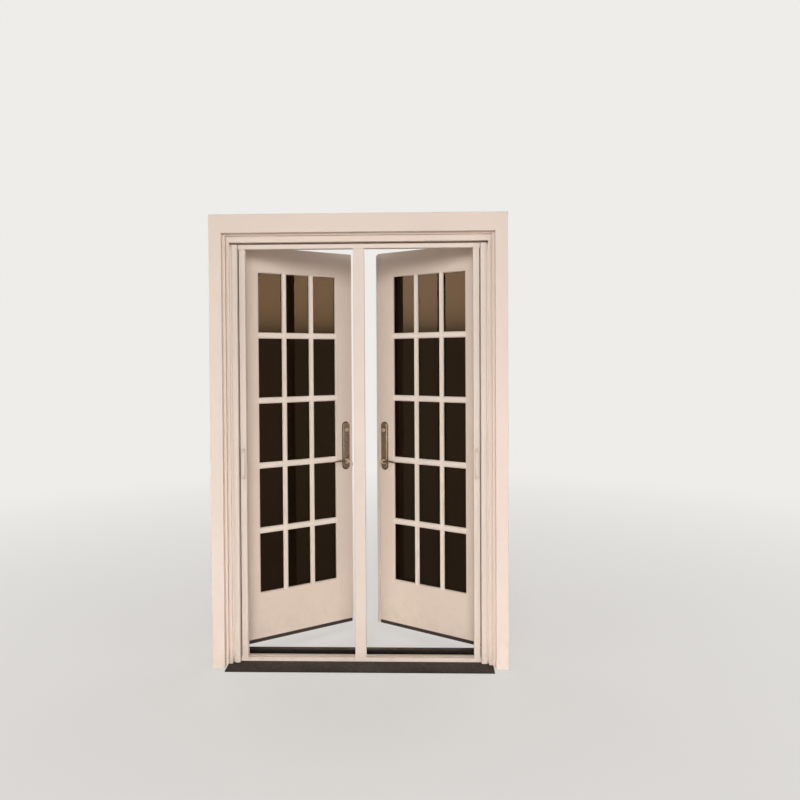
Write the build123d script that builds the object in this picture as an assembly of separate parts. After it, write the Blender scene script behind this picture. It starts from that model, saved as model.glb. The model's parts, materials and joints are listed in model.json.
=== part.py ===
from build123d import *
import os

# A pair of glazed french doors in their frame, standing ajar, with a pull-across insect screen on each side.
# Millimetres. Z is up. Y = 0 is the wall face that the casing lies on, and +Y goes indoors.
# X = 0 is the middle of the doorway. Z = 0 is the base of the sill.

# Leaves
leaf_width = 633.5
leaf_height = 2007.0
leaf_thickness = 44.5
sweep_clearance = 2.0
hinge_gap = 2.5
meeting_gap = 5.0
head_gap = 2.8
left_rest_angle = 33.5
right_rest_angle = 31.5

# Stiles, rails and glass of a leaf
stile_width = 99.0
bottom_rail_height = 234.0
top_rail_height = 131.5
sticking_depth = 12.0
sticking_bevel = 5.0
glass_cover = 10.0
glass_clearance = 1.5
pane_thickness = 4.0
bead_depth = 12.5
spacer_width = 7.0
upright_bars = 2
upright_bar_width = 25.0
cross_bars = 4
cross_bar_width = 30.8
bar_bevel = 5.0
bar_face_inset = 1.0
sweep_height = 20.0
sweep_fin = 3.0
sweep_fin_taper = 0.25
sweep_inset = 3.0
sweep_carrier = 4.0

# Jambs and head
jamb_depth = 165.0
jamb_thickness = 33.5
leaf_inset = 0.5
stop_cover = 12.7
head_stop_cover = 9.8
seal_thickness = 3.0
seal_clearance = 0.3
kerf_width = 3.0
kerf_depth = 8.0
kerf_setback = 4.0
head_kerf_setback = 3.0
kerf_play = 0.4
seal_end_gap = 0.5
seal_bulb_r = 1.2
side_bead = 9.7
side_groove = 9.5
side_outer_bead = 12.0
head_bead = 18.3
head_groove = 13.9
head_outer_bead = 9.3
groove_depth = 12.0
jamb_screw_r = 3.5
low_screw_heights = (200.0, 700.0)
high_screw_drops = (569.0, 69.0)

# Casing
casing_width = 61.0
head_casing_height = 89.5
casing_depth = 28.0
casing_edge_r = 2.5

# Sill and threshold
sill_nose = 45.0
sill_nose_height = 5.0
sill_height = 10.0
sill_end_reach = 19.5
sill_slope_end_y = 28.0
sill_rib = 6.0
sill_channel_height = 3.5
cap_depth = 67.0
cap_height = 40.0
cap_back_height = 24.0
cap_crest_depth = 30.0
cap_bevel = 4.0
threshold_screws = (120.0, 340.0, 560.0)
threshold_screw_depth = 17.0
threshold_screw_length = 12.0

# Hinges
low_hinge_rise = 280.0
top_hinge_drop = 180.0
hinge_length = 102.0
hinge_plate = 2.5
hinge_plate_reach = 37.0
knuckles = 5
knuckle_r = 6.2
pin_r = 3.0
pin_running = 0.05
knuckle_clearance = 0.8
pin_tip_r = 4.6
pin_tip_length = 3.0
pin_tip_dome = 2.2
fit_gap = 0.15
screw_head_r = 4.3
small_head_r = 3.4
screw_shank_r = 2.3
seat_overlap = 0.2

# Hinge screws: rise from the hinge's middle, distance from the jamb's back edge
hinge_screws = ((40.0, 13.0), (14.0, 27.0), (-14.0, 27.0), (-40.0, 13.0))

# Lock sets
backset = 40.0
spindle_z = 935.0
cylinder_rise = 172.0
plate_length = 263.0
plate_width = 44.0
plate_thickness = 8.0
plate_wall = 2.5
plate_rim = 7.0
plate_center_rise = 86.0
plate_screw_rise = 112.0
lever_length = 88.0
lever_reach = 36.0
rose_r = 15.0
rose_thickness = 6.0
rose_dome = 3.5
neck_r = 7.0
knob_r = 8.0
neck_start = 2.0
tip_fullness = 0.4
spindle_side = 8.0
spindle_play = 0.1
spindle_end = 12.0
spindle_end_gap = 2.0
spindle_bore_r = 6.0
bore_play = 0.5
turning_gap = 0.3
round_end_flat = 0.1
plate_crest_r = 1.2

# Stations of the lever's arm: share of its length, rise, distance out, half depth, half height
arm_stations = ((0.0, 0.0, 0.0, 6.5, 7.0), (0.12, 1.8, 0.6, 5.8, 6.4), (0.35, 7.0, 2.6, 4.8, 5.2),
                (0.62, 9.0, 4.4, 4.4, 4.7), (0.86, 7.2, 5.4, 4.1, 4.3), (1.0, 4.8, 5.8, 3.6, 3.7))

# Lock cases and bolts
cylinder_r = 11.0
cylinder_stand = 8.0
cylinder_edge_r = 1.8
keyway_width = 2.4
keyway_depth = 8.0
keyway_height = 11.0
case_thickness = 18.0
case_depth = 60.0
case_corner_r = 3.0
case_below_spindle = 58.0
case_above_cylinder = 53.0
faceplate_width = 22.0
faceplate_thickness = 3.0
faceplate_margin = 22.0
faceplate_corner_r = 4.0
faceplate_screw_rise = 11.0
latch_throw = 12.0
latch_height = 20.0
latch_width = 11.0
latch_tail = 24.0
latch_gap = 4.0
latch_nose = 2.0
deadbolt_throw = 20.0
deadbolt_height = 28.0
deadbolt_width = 12.0
deadbolt_tail = 28.0
deadbolt_recess = 0.5
bolt_clearance = 0.3
tail_r = 4.0
turn_width = 9.0
turn_length = 34.0
turn_stand = 20.0
turn_rose_reach = 3.0
turn_rose_thickness = 4.0
turn_edge_r = 2.5

# Passive leaf
astragal_stem = 1.5
astragal_lip = 6.0
astragal_lip_r = 2.0
astragal_lip_gap = 0.4
astragal_overlap = 9.0
astragal_width = 34.0
astragal_end_gap = 2.0
astragal_sill_gap = 8.0
strike_thickness = 1.2
strike_width = 22.0
strike_margin = 12.0
strike_side_play = 1.0
strike_end_play = 1.5
latch_room = 2.0
strike_corner_r = 3.0
strike_screw_rise = 7.0
gear_case_setback = 24.0
gear_below_spindle = 84.0
gear_above_cylinder = 77.0
shoot_bolt_r = 5.5
shoot_bolt_inset = 9.0
shoot_bolt_throw = 25.0
bottom_bolt_gap = 4.0
bolt_tang_height = 12.0
bolt_tang_thickness = 6.0
bolt_tang_reach = 7.0
bolt_tang_overlap = 2.0
bolt_case_gap = 6.0
bolt_top_gap = 3.0
bolt_tip_chamfer = 1.5
keeper_thickness = 2.0
keeper_length = 60.0
keeper_width = 26.0
keeper_hole_r = 7.0
keeper_corner_r = 3.0
keeper_screw_reach = 21.0

# Insect screens
housing_width = 27.5
housing_jamb_gap = 8.5
housing_front_y = 8.0
housing_depth = 52.0
housing_wall = 1.6
housing_corner_r = 4.0
housing_sill_gap = 1.0
housing_head_gap = 10.0
housing_slot = 4.0
flange_setback = 12.0
flange_tab = 18.0
end_cap = 4.0
roller_r = 7.5
roll_clearance = 1.65
roller_pin_r = 3.0
roll_end_gap = 8.0
roller_cap_gap = 2.0
roller_pin_gap = 0.5
mesh_setback = 11.0
track_setback = 3.0
bottom_track_depth = 40.0
bottom_track_height = 20.0
top_track_depth = 32.0
top_track_height = 23.0
top_track_head_gap = 6.0
track_channel = 14.0
track_channel_depth = 13.0
track_channel_setback = 6.0
track_edge = 1.5
track_web = 6.0
parked_gap = 4.3
pull_bar_width = 30.3
screen_front_y = 27.0
screen_bar_depth = 24.0
section_wall = 1.8
section_corner_r = 2.5
skirt_thickness = 1.8
skirt_sill_gap = 5.0
skirt_lap = 6.0
skirt_side_gap = 1.0
mesh_groove = 6.0
mesh_groove_width = 3.0
latch_groove = 3.0
latch_groove_width = 10.0
shoe_plug = 14.0
shoe_track_gap = 2.0
running_gap = 0.5
post_width = 54.0
post_seam = 1.2
grip_bottom_z = 908.0
grip_length = 152.0
grip_width = 16.0
grip_stand = 12.0
grip_edge_r = 2.0
grip_scoop_r = 5.0
grip_scoop_bite = 2.5

# Sizes and places that follow from the values above
rabbet_x = meeting_gap / 2 + leaf_width + hinge_gap
stop_x = rabbet_x - stop_cover
jamb_outer_x = rabbet_x + jamb_thickness
leaf_bottom_z = cap_height + sweep_clearance + sweep_height
leaf_top_z = leaf_bottom_z + leaf_height
rabbet_z = leaf_top_z + head_gap
head_stop_z = rabbet_z - head_stop_cover
head_top_z = rabbet_z + jamb_thickness
leaf_front_y = jamb_depth - leaf_inset - leaf_thickness
stop_back_y = leaf_front_y - seal_thickness
casing_inner_x = stop_x + side_bead + side_groove + side_outer_bead
casing_outer_x = casing_inner_x + casing_width
casing_inner_z = head_stop_z + head_bead + head_groove + head_outer_bead
casing_top_z = casing_inner_z + head_casing_height
jamb_screw_heights = low_screw_heights + tuple(leaf_top_z - drop for drop in high_screw_drops)
cap_front_y = jamb_depth - cap_depth
glass_unit_depth = leaf_thickness - sticking_depth - bead_depth
glass_low_z = leaf_bottom_z + bottom_rail_height
glass_high_z = leaf_top_z - top_rail_height
hinge_edge_x = rabbet_x - hinge_gap
pin_x = rabbet_x - hinge_gap / 2
pin_offset = knuckle_r + knuckle_clearance
pin_y = leaf_front_y + leaf_thickness + pin_offset
low_hinge_z = leaf_bottom_z + low_hinge_rise
top_hinge_z = leaf_top_z - top_hinge_drop
hinge_heights = (low_hinge_z, (low_hinge_z + top_hinge_z) / 2, top_hinge_z)
cylinder_z = spindle_z + cylinder_rise
plate_center_z = spindle_z + plate_center_rise
case_bottom_z = spindle_z - case_below_spindle
case_top_z = cylinder_z + case_above_cylinder
gear_case_bottom_z = spindle_z - gear_below_spindle
gear_case_top_z = cylinder_z + gear_above_cylinder
bottom_bolt_tip_z = cap_height + bottom_bolt_gap
case_middle = leaf_thickness / 2
lock_s = leaf_width - backset
housing_outer_x = stop_x - housing_jamb_gap
housing_inner_x = housing_outer_x - housing_width
housing_bottom_z = sill_height + housing_sill_gap
housing_top_z = head_stop_z - housing_head_gap
mesh_plane_y = screen_front_y + mesh_setback
track_front_y = screen_front_y + track_setback
mesh_roll_r = housing_width / 2 - housing_wall - roll_clearance
roller_x = housing_inner_x + housing_width / 2
roller_y = mesh_plane_y - mesh_roll_r
shoot_bolt_s = leaf_width - shoot_bolt_inset
shoot_bolt_x = hinge_edge_x - shoot_bolt_s
shoot_bolt_y = leaf_front_y + case_middle
track_end_x = housing_inner_x - running_gap
top_track_bottom_z = head_stop_z - top_track_head_gap - top_track_height
bar_parked_inner_x = housing_inner_x - parked_gap - pull_bar_width
skirt_bottom_z = sill_height + skirt_sill_gap


def slab(x, y, z):
    """A block between the low and high value given for each axis."""
    middle = Pos((x[0] + x[1]) / 2, (y[0] + y[1]) / 2, (z[0] + z[1]) / 2)
    return middle * Box(x[1] - x[0], y[1] - y[0], z[1] - z[0])


def upright(points, z):
    """A plan outline in X and Y, carried from one height to another."""
    return Pos(0, 0, z[0]) * extrude(make_face(Polyline(*points, close=True)), amount=z[1] - z[0])


def level(points, x):
    """A section in Y and Z, carried from one X to another."""
    face = Plane.YZ * make_face(Polyline(*points, close=True))
    return Pos(x[0], 0, 0) * extrude(face, amount=x[1] - x[0])


def board(points, y):
    """A front view in X and Z, carried from one depth to another."""
    face = Plane.XZ * make_face(Polyline(*points, close=True))
    return Pos(0, y[0], 0) * extrude(face, amount=-(y[1] - y[0]))


def rod(center, radius, length, direction=(0, 0, 1)):
    """A round bar that starts at a point and runs along a direction."""
    return extrude(Plane(origin=center, z_dir=direction) * Circle(radius), amount=length)


def screw_seat(center, direction, head_r, depth):
    """The cutter for a countersunk screw: a cone that narrows from the face to the shank, and the shank's hole."""
    plane = Plane(origin=center, z_dir=direction)
    height = head_r + seat_overlap - screw_shank_r
    cone = Cone(head_r + seat_overlap, screw_shank_r, height, align=(Align.CENTER, Align.CENTER, Align.MIN))
    return plane * Pos(0, 0, -seat_overlap) * cone + rod(center, screw_shank_r, depth, direction)


def mirrored(solid):
    """The same piece on the other side of the doorway."""
    return mirror(solid, about=Plane.YZ)


def widened_opening(x, z, y_face, depth):
    """The cutter for a bevel round a rectangular opening, wide at y_face and as wide as the opening at depth."""
    width, height = x[1] - x[0], z[1] - z[0]
    grow = 2 * abs(depth)
    middle = ((x[0] + x[1]) / 2, (z[0] + z[1]) / 2)
    sections = []
    for y, extra in ((y_face, grow), (y_face + depth, 0.0)):
        plane = Plane(origin=(middle[0], y, middle[1]), x_dir=(1, 0, 0), z_dir=(0, -1, 0))
        sections.append(plane * Rectangle(width + extra, height + extra))
    return loft(sections)


# Frame

def band_groove():
    """The groove that runs round the front of the jambs and head, as a U-shaped loop to be cut away."""
    outer_x, outer_z = casing_inner_x - side_outer_bead, casing_inner_z - head_outer_bead
    inner_x, inner_z = stop_x + side_bead, head_stop_z + head_bead
    depth = (-1.0, groove_depth)
    outer = slab((-outer_x, outer_x), depth, (-1.0, outer_z))
    return outer - slab((-inner_x, inner_x), (-2.0, groove_depth + 1.0), (-2.0, inner_z))


def side_jamb():
    """The left jamb: a stepped section with its seal kerf, hinge mortises and screw holes."""
    section = [(-jamb_outer_x, 0), (-stop_x, 0), (-stop_x, stop_back_y), (-rabbet_x, stop_back_y),
               (-rabbet_x, jamb_depth), (-jamb_outer_x, jamb_depth)]
    jamb = upright(section, (0, head_top_z))
    jamb -= band_groove()
    kerf_x = (-stop_x - kerf_width - kerf_setback, -stop_x - kerf_setback)
    jamb -= slab(kerf_x, (stop_back_y - kerf_depth, stop_back_y + 1.0), (sill_height, rabbet_z))
    for z in hinge_heights:
        jamb -= slab((-rabbet_x - hinge_plate, -rabbet_x + 1.0),
                     (jamb_depth - hinge_plate_reach - fit_gap, jamb_depth + 1.0),
                     (z - hinge_length / 2 - fit_gap, z + hinge_length / 2 + fit_gap))
    for z in jamb_screw_heights:
        jamb -= rod((-jamb_outer_x - 1.0, (stop_back_y + jamb_depth) / 2, z), jamb_screw_r,
                    jamb_thickness + 2.0, (1, 0, 0))
    return jamb


def head_jamb():
    """The head between the side jambs, with its stop, groove, seal kerf and bolt hole."""
    stop = slab((-stop_x, stop_x), (0, stop_back_y), (head_stop_z, head_top_z))
    back = slab((-rabbet_x, rabbet_x), (stop_back_y, jamb_depth), (rabbet_z, head_top_z))
    head = stop + back - band_groove()
    head -= slab((-stop_x, stop_x), (stop_back_y - kerf_depth, stop_back_y + 1.0),
                 (head_stop_z + head_kerf_setback, head_stop_z + head_kerf_setback + kerf_width))
    keeper_x = (shoot_bolt_x - keeper_length / 2 - fit_gap, shoot_bolt_x + keeper_length / 2 + fit_gap)
    keeper_y = (shoot_bolt_y - keeper_width / 2 - fit_gap, shoot_bolt_y + keeper_width / 2 + fit_gap)
    head -= slab(keeper_x, keeper_y, (rabbet_z - 1.0, rabbet_z + keeper_thickness))
    head -= rod((shoot_bolt_x, shoot_bolt_y, rabbet_z), keeper_hole_r, shoot_bolt_throw)
    return head


def side_casing():
    """The left casing board, mitred to the head casing from its inner to its outer corner."""
    front = [(-casing_outer_x, 0), (-casing_inner_x, 0), (-casing_inner_x, casing_inner_z),
             (-casing_outer_x, casing_top_z)]
    casing = board(front, (-casing_depth, 0))
    eased = casing.edges().filter_by(Axis.Z).group_by(Axis.Y)[0]
    return fillet(eased, casing_edge_r)


def head_casing():
    """The head casing board between the two mitres."""
    front = [(-casing_inner_x, casing_inner_z), (casing_inner_x, casing_inner_z),
             (casing_outer_x, casing_top_z), (-casing_outer_x, casing_top_z)]
    casing = board(front, (-casing_depth, 0))
    eased = casing.edges().filter_by(Axis.X).group_by(Axis.Y)[0]
    return fillet(eased, casing_edge_r)


def sill():
    """The metal sill: a sloped nose in front of the jambs, a level deck behind it and ribs below."""
    front_y = -casing_depth - sill_nose
    section = [(front_y, 0), (0, 0), (0, sill_height - sill_slope_drop()), (front_y, sill_nose_height)]
    end_x = stop_x + sill_end_reach
    nose = level(section, (-end_x, end_x))
    deck = [(0, 0), (stop_back_y, 0), (stop_back_y, sill_height), (sill_slope_end_y, sill_height),
            (0, sill_height - sill_slope_drop())]
    body = level(deck, (-stop_x, stop_x))
    back = slab((-rabbet_x, rabbet_x), (stop_back_y, jamb_depth), (0, sill_height))
    whole = nose + body + back
    rib_lines = [front_y + sill_rib, -sill_rib, sill_rib, cap_front_y - sill_rib, cap_front_y + sill_rib,
                 jamb_depth - sill_rib]
    for low, high in zip(rib_lines[0::2], rib_lines[1::2]):
        whole -= slab((-stop_x + sill_rib, stop_x - sill_rib), (low, high), (-1.0, sill_channel_height))
    return whole


def sill_slope_drop():
    """How far the sloped top lies under the deck at the jambs' front face."""
    run = sill_slope_end_y + casing_depth + sill_nose
    return (sill_height - sill_nose_height) * sill_slope_end_y / run


def threshold_cap():
    """The raised threshold under the closed leaves, with the hole for the passive leaf's bottom bolt."""
    crest_back = cap_front_y + cap_crest_depth
    section = [(cap_front_y, sill_height), (cap_front_y, cap_height - cap_bevel),
               (cap_front_y + cap_bevel, cap_height), (crest_back, cap_height),
               (jamb_depth, cap_back_height), (jamb_depth, sill_height)]
    cap = level(section, (-rabbet_x, rabbet_x))
    for side in (-1, 1):
        near, far = sorted((side * stop_x, side * (rabbet_x + 1.0)))
        cap -= slab((near, far), (cap_front_y - 1.0, stop_back_y), (0, cap_height + 1.0))
    keeper_y = (shoot_bolt_y - keeper_width / 2 - fit_gap, shoot_bolt_y + keeper_width / 2 + fit_gap)
    keeper_x = (shoot_bolt_x - keeper_length / 2 - fit_gap, shoot_bolt_x + keeper_length / 2 + fit_gap)
    cap -= slab(keeper_x, keeper_y, (floor_keeper_z(), cap_height + 1.0))
    cap -= rod((shoot_bolt_x, shoot_bolt_y, sill_height), keeper_hole_r, cap_height)
    for x in threshold_screws:
        for side in (-1, 1):
            seat = (side * x, cap_front_y + threshold_screw_depth, cap_height)
            cap -= screw_seat(seat, (0, 0, -1), screw_head_r, threshold_screw_length)
    return cap


def floor_keeper_z():
    """The level seat of the floor keeper, let into the sloped back of the threshold."""
    fall = (cap_height - cap_back_height) / (jamb_depth - cap_front_y - cap_crest_depth)
    back = shoot_bolt_y + keeper_width / 2 + fit_gap
    return cap_height - fall * (back - cap_front_y - cap_crest_depth) - keeper_thickness


def keeper(z, face_up):
    """A bolt keeper: a plate with a round hole for a shoot bolt and two screw seats in the face that shows."""
    plate = slab((shoot_bolt_x - keeper_length / 2, shoot_bolt_x + keeper_length / 2),
                 (shoot_bolt_y - keeper_width / 2, shoot_bolt_y + keeper_width / 2),
                 (z, z + keeper_thickness))
    plate = fillet(plate.edges().filter_by(Axis.Z), keeper_corner_r)
    face_z, inward = (z + keeper_thickness, -1) if face_up else (z, 1)
    for side in (-1, 1):
        seat = (shoot_bolt_x + side * keeper_screw_reach, shoot_bolt_y, face_z)
        plate -= screw_seat(seat, (0, 0, inward), screw_head_r, keeper_thickness + 1.0)
    return plate - rod((shoot_bolt_x, shoot_bolt_y, z - 1.0), keeper_hole_r, keeper_thickness + 2.0)


def side_seal():
    """The left jamb's weatherstrip: a flat bulb on the stop, with a tongue in the kerf."""
    front = stop_back_y
    back = leaf_front_y - seal_clearance
    z = (cap_height + seal_end_gap, head_stop_z - seal_end_gap)
    bulb = slab((-rabbet_x + seal_end_gap, -stop_x - seal_end_gap), (front, back), z)
    bulb = fillet(bulb.edges().filter_by(Axis.Z).group_by(Axis.Y)[-1], seal_bulb_r)
    tongue_x = (-stop_x - kerf_width - kerf_setback + kerf_play, -stop_x - kerf_setback - kerf_play)
    tongue = slab(tongue_x, (front - kerf_depth + 1.0, front), z)
    return bulb + tongue


def head_seal():
    """The head's weatherstrip."""
    front = stop_back_y
    back = leaf_front_y - seal_clearance
    bulb = slab((-rabbet_x + seal_end_gap, rabbet_x - seal_end_gap), (front, back),
                (head_stop_z + seal_end_gap, rabbet_z - seal_end_gap))
    bulb = fillet(bulb.edges().filter_by(Axis.X).group_by(Axis.Y)[-1], seal_bulb_r)
    kerf_z = head_stop_z + head_kerf_setback
    tongue_z = (kerf_z + kerf_play, kerf_z + kerf_width - kerf_play)
    tongue = slab((-stop_x + 1.0, stop_x - 1.0), (front - kerf_depth + 1.0, front), tongue_z)
    return bulb + tongue


# Hinges

def hinge_plate_with_knuckles(z, on_leaf):
    """One half of a butt hinge at the left jamb with the leaf shut: a plate and its share of the knuckles."""
    face_x = -hinge_edge_x if on_leaf else -rabbet_x
    inside = hinge_plate if on_leaf else -hinge_plate
    plate_x = sorted((face_x, face_x + inside))
    end_y = pin_y - pin_offset if on_leaf else jamb_depth
    plate = slab(plate_x, (jamb_depth - hinge_plate_reach, end_y), (z - hinge_length / 2, z + hinge_length / 2))
    pitch = hinge_length / knuckles
    for i in range(knuckles):
        if (i % 2 == 1) != on_leaf:
            continue
        low = z - hinge_length / 2 + i * pitch + fit_gap
        high = low + pitch - 2 * fit_gap
        web = slab(plate_x, (end_y - 1.0, pin_y), (low, high))
        plate += web + rod((-pin_x, pin_y, low), knuckle_r, high - low)
    inward = (1, 0, 0) if on_leaf else (-1, 0, 0)
    for rise, distance in hinge_screws:
        seat = (face_x, jamb_depth - distance, z + rise)
        plate -= screw_seat(seat, inward, screw_head_r, hinge_plate + 1.0)
    return plate - rod((-pin_x, pin_y, z - hinge_length), pin_r + pin_running, 2 * hinge_length)


def hinge_pin(z):
    """A hinge pin with a button tip at each end."""
    pin = rod((-pin_x, pin_y, z - hinge_length / 2 - 1.0), pin_r, hinge_length + 2.0)
    for end, way in ((z - hinge_length / 2, -1), (z + hinge_length / 2, 1)):
        tip = rod((-pin_x, pin_y, end + way * fit_gap), pin_tip_r, pin_tip_length, (0, 0, way))
        dome = tip.edges().filter_by(GeomType.CIRCLE).sort_by(Axis.Z)[-1 if way > 0 else 0]
        pin += fillet(dome, pin_tip_dome)
    return pin


# Leaves. Each piece is drawn in the leaf's own plan: X runs from the hinge edge to the meeting edge,
# Y from the outer face to the inner face, and Z is the height above the sill's base.

def glass_field():
    """The see-through field of a leaf, as its X and Z ranges."""
    return (stile_width, leaf_width - stile_width), (glass_low_z, glass_high_z)


def framed(blank):
    """A stile or rail blank with the glass bevel and the glazing rabbet cut away."""
    x, z = glass_field()
    pocket_x = (x[0] - glass_cover, x[1] + glass_cover)
    pocket_z = (z[0] - glass_cover, z[1] + glass_cover)
    blank -= widened_opening(x, z, 0.0, sticking_bevel)
    return blank - slab(pocket_x, (sticking_depth, leaf_thickness + 1.0), pocket_z)


def hinge_stile():
    """The stile at the hinges, with its plate mortises."""
    stile = framed(slab((0, stile_width), (0, leaf_thickness), (leaf_bottom_z, leaf_top_z)))
    plate_low = jamb_depth - hinge_plate_reach - leaf_front_y - fit_gap
    for z in hinge_heights:
        stile -= slab((-1.0, hinge_plate), (plate_low, leaf_thickness + 1.0),
                      (z - hinge_length / 2 - fit_gap, z + hinge_length / 2 + fit_gap))
    return stile


def lock_stile(passive):
    """The stile at the meeting edge, mortised for its lock and, on the passive leaf, for its shoot bolts."""
    edge = leaf_width
    stile = framed(slab((edge - stile_width, edge), (0, leaf_thickness), (leaf_bottom_z, leaf_top_z)))
    low, high = case_heights(passive)
    half = case_thickness / 2 + fit_gap
    stile -= slab((edge - case_depth - faceplate_thickness - 1.0, edge + 1.0),
                  (case_middle - half, case_middle + half), (low - fit_gap, high + fit_gap))
    for z in (spindle_z, cylinder_z):
        stile -= rod((lock_s, -1.0, z), cylinder_r + bore_play, leaf_thickness + 2.0, (0, 1, 0))
    if passive:
        reach = shoot_bolt_r + bolt_clearance
        stile -= slab((shoot_bolt_s - reach, edge + 1.0), (case_middle - reach, case_middle + reach),
                      (leaf_bottom_z - 1.0, leaf_top_z + 1.0))
        return stile - latch_pocket() - deadbolt_pocket()
    half = faceplate_width / 2 + fit_gap
    return stile - slab((edge - faceplate_thickness, edge + 1.0), (case_middle - half, case_middle + half),
                        (low - faceplate_margin - fit_gap, high + faceplate_margin + fit_gap))


def case_heights(passive):
    """The bottom and top of a leaf's mortise case."""
    return (gear_case_bottom_z, gear_case_top_z) if passive else (case_bottom_z, case_top_z)


def rail(low, high):
    """A rail between the stiles."""
    return framed(slab((stile_width, leaf_width - stile_width), (0, leaf_thickness), (low, high)))


def glass_panes():
    """The two panes of the sealed double glazing."""
    x, z = glass_span()
    front, back = sticking_depth, sticking_depth + glass_unit_depth
    return [slab(x, (front, front + pane_thickness), z), slab(x, (back - pane_thickness, back), z)]


def glass_spacer():
    """The hollow spacer that keeps the panes apart round their edges."""
    x, z = glass_span()
    depth = (sticking_depth + pane_thickness, sticking_depth + glass_unit_depth - pane_thickness)
    frame = slab(x, depth, z)
    inner_x, inner_z = (x[0] + spacer_width, x[1] - spacer_width), (z[0] + spacer_width, z[1] - spacer_width)
    return frame - slab(inner_x, (depth[0] - 1.0, depth[1] + 1.0), inner_z)


def glass_span():
    """The size of the panes, which reach into the glazing rabbet on all sides."""
    x, z = glass_field()
    reach = glass_cover - glass_clearance
    return (x[0] - reach, x[1] + reach), (z[0] - reach, z[1] + reach)


def bar_section(width, base, face):
    """Half-round-edged bar section across its width: flat on the glass, bevelled towards its face."""
    slope = bar_bevel if face > base else -bar_bevel
    half = width / 2
    return [(-half, base), (half, base), (half, face - slope), (half - bar_bevel, face),
            (-half + bar_bevel, face), (-half, face - slope)]


def bar_grid(base, face, overrun):
    """The upright and cross bars on one side of the glass, lapped into one grid that overruns the field."""
    x, z = glass_field()
    lite_width = (x[1] - x[0] - upright_bars * upright_bar_width) / (upright_bars + 1)
    lite_height = (z[1] - z[0] - cross_bars * cross_bar_width) / (cross_bars + 1)
    grid = None
    for i in range(upright_bars):
        middle = x[0] + (i + 1) * lite_width + (i + 0.5) * upright_bar_width
        section = bar_section(upright_bar_width, base, face)
        bar = Pos(middle, 0, 0) * upright(section, (z[0] - overrun, z[1] + overrun))
        grid = bar if grid is None else grid + bar
    for i in range(cross_bars):
        middle = z[0] + (i + 1) * lite_height + (i + 0.5) * cross_bar_width
        section = [(depth, offset) for offset, depth in bar_section(cross_bar_width, base, face)]
        grid += Pos(0, 0, middle) * level(section, (x[0] - overrun, x[1] + overrun))
    return grid


def outer_grille():
    """The bars on the weather side, coped onto the bevel of the stiles and rails."""
    x, z = glass_field()
    opening = slab(x, (0.0, sticking_depth), z) + widened_opening(x, z, 0.0, sticking_bevel)
    return bar_grid(sticking_depth, bar_face_inset, sticking_bevel) & opening


def inner_grille():
    """The room-side glazing bead with its bars, which holds the glass in its rabbet."""
    x, z = glass_field()
    reach = glass_cover - fit_gap
    back = sticking_depth + glass_unit_depth
    bead = slab((x[0] - reach, x[1] + reach), (back, leaf_thickness), (z[0] - reach, z[1] + reach))
    bead -= slab(x, (back - 1.0, leaf_thickness + 1.0), z)
    bead -= widened_opening(x, z, leaf_thickness, -sticking_bevel)
    return bead + bar_grid(back, leaf_thickness - bar_face_inset, sticking_bevel)


def door_sweep(passive):
    """The sweep under the leaf: a carrier strip with three hanging fins."""
    x, y = (sweep_inset, leaf_width - sweep_inset), (sweep_inset, leaf_thickness - sweep_inset)
    top, tip = leaf_bottom_z - sweep_carrier, leaf_bottom_z - sweep_height
    carrier = slab(x, y, (top, leaf_bottom_z))
    taper = sweep_fin * sweep_fin_taper
    for start in (y[0], (leaf_thickness - sweep_fin) / 2, y[1] - sweep_fin):
        end = start + sweep_fin
        carrier += level([(start, top), (end, top), (end - taper, tip), (start + taper, tip)], x)
    if passive:
        carrier -= rod((shoot_bolt_s, case_middle, leaf_bottom_z - sweep_height - 1.0),
                       shoot_bolt_r + 3 * bolt_clearance, sweep_height + 2.0)
    return carrier


def cover_plate(outside, bored):
    """A long cover plate with round ends, a wide sloping rim, and holes for the lever's neck and the cylinder."""
    y_face = 0.0 if outside else leaf_thickness
    way = -1 if outside else 1
    outlines = []
    for depth, inset in ((0.0, 0.0), (plate_wall, 0.0), (plate_thickness, plate_rim)):
        plane = Plane(origin=(lock_s, y_face + way * depth, plate_center_z), x_dir=(1, 0, 0), z_dir=(0, way, 0))
        width, length = plate_width - 2 * inset, plate_length - 2 * inset
        outlines.append(plane * RectangleRounded(width, length, width / 2 - round_end_flat))
    plate = loft(outlines, ruled=True)
    crest = plate.faces().sort_by(Axis.Y)[0 if outside else -1].edges()
    plate = fillet(crest, plate_crest_r)
    if not outside:
        for rise in (-plate_screw_rise, plate_screw_rise):
            seat = (lock_s, y_face + plate_thickness, plate_center_z + rise)
            plate -= screw_seat(seat, (0, -1, 0), screw_head_r, plate_thickness + 1.0)
    plate -= rod((lock_s, y_face - way, spindle_z), neck_r + fit_gap, way * (plate_thickness + 2.0), (0, 1, 0))
    if bored:
        return plate - rod((lock_s, y_face - way, cylinder_z), cylinder_r + fit_gap,
                           way * (plate_thickness + 2.0), (0, 1, 0))
    boss = rod((lock_s, y_face + way * (plate_thickness - 1.0), cylinder_z), cylinder_r,
               cylinder_stand + 1.0, (0, way, 0))
    front = boss.faces().sort_by(Axis.Y)[0 if outside else -1].edges()
    return plate + fillet(front, cylinder_edge_r)


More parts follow.
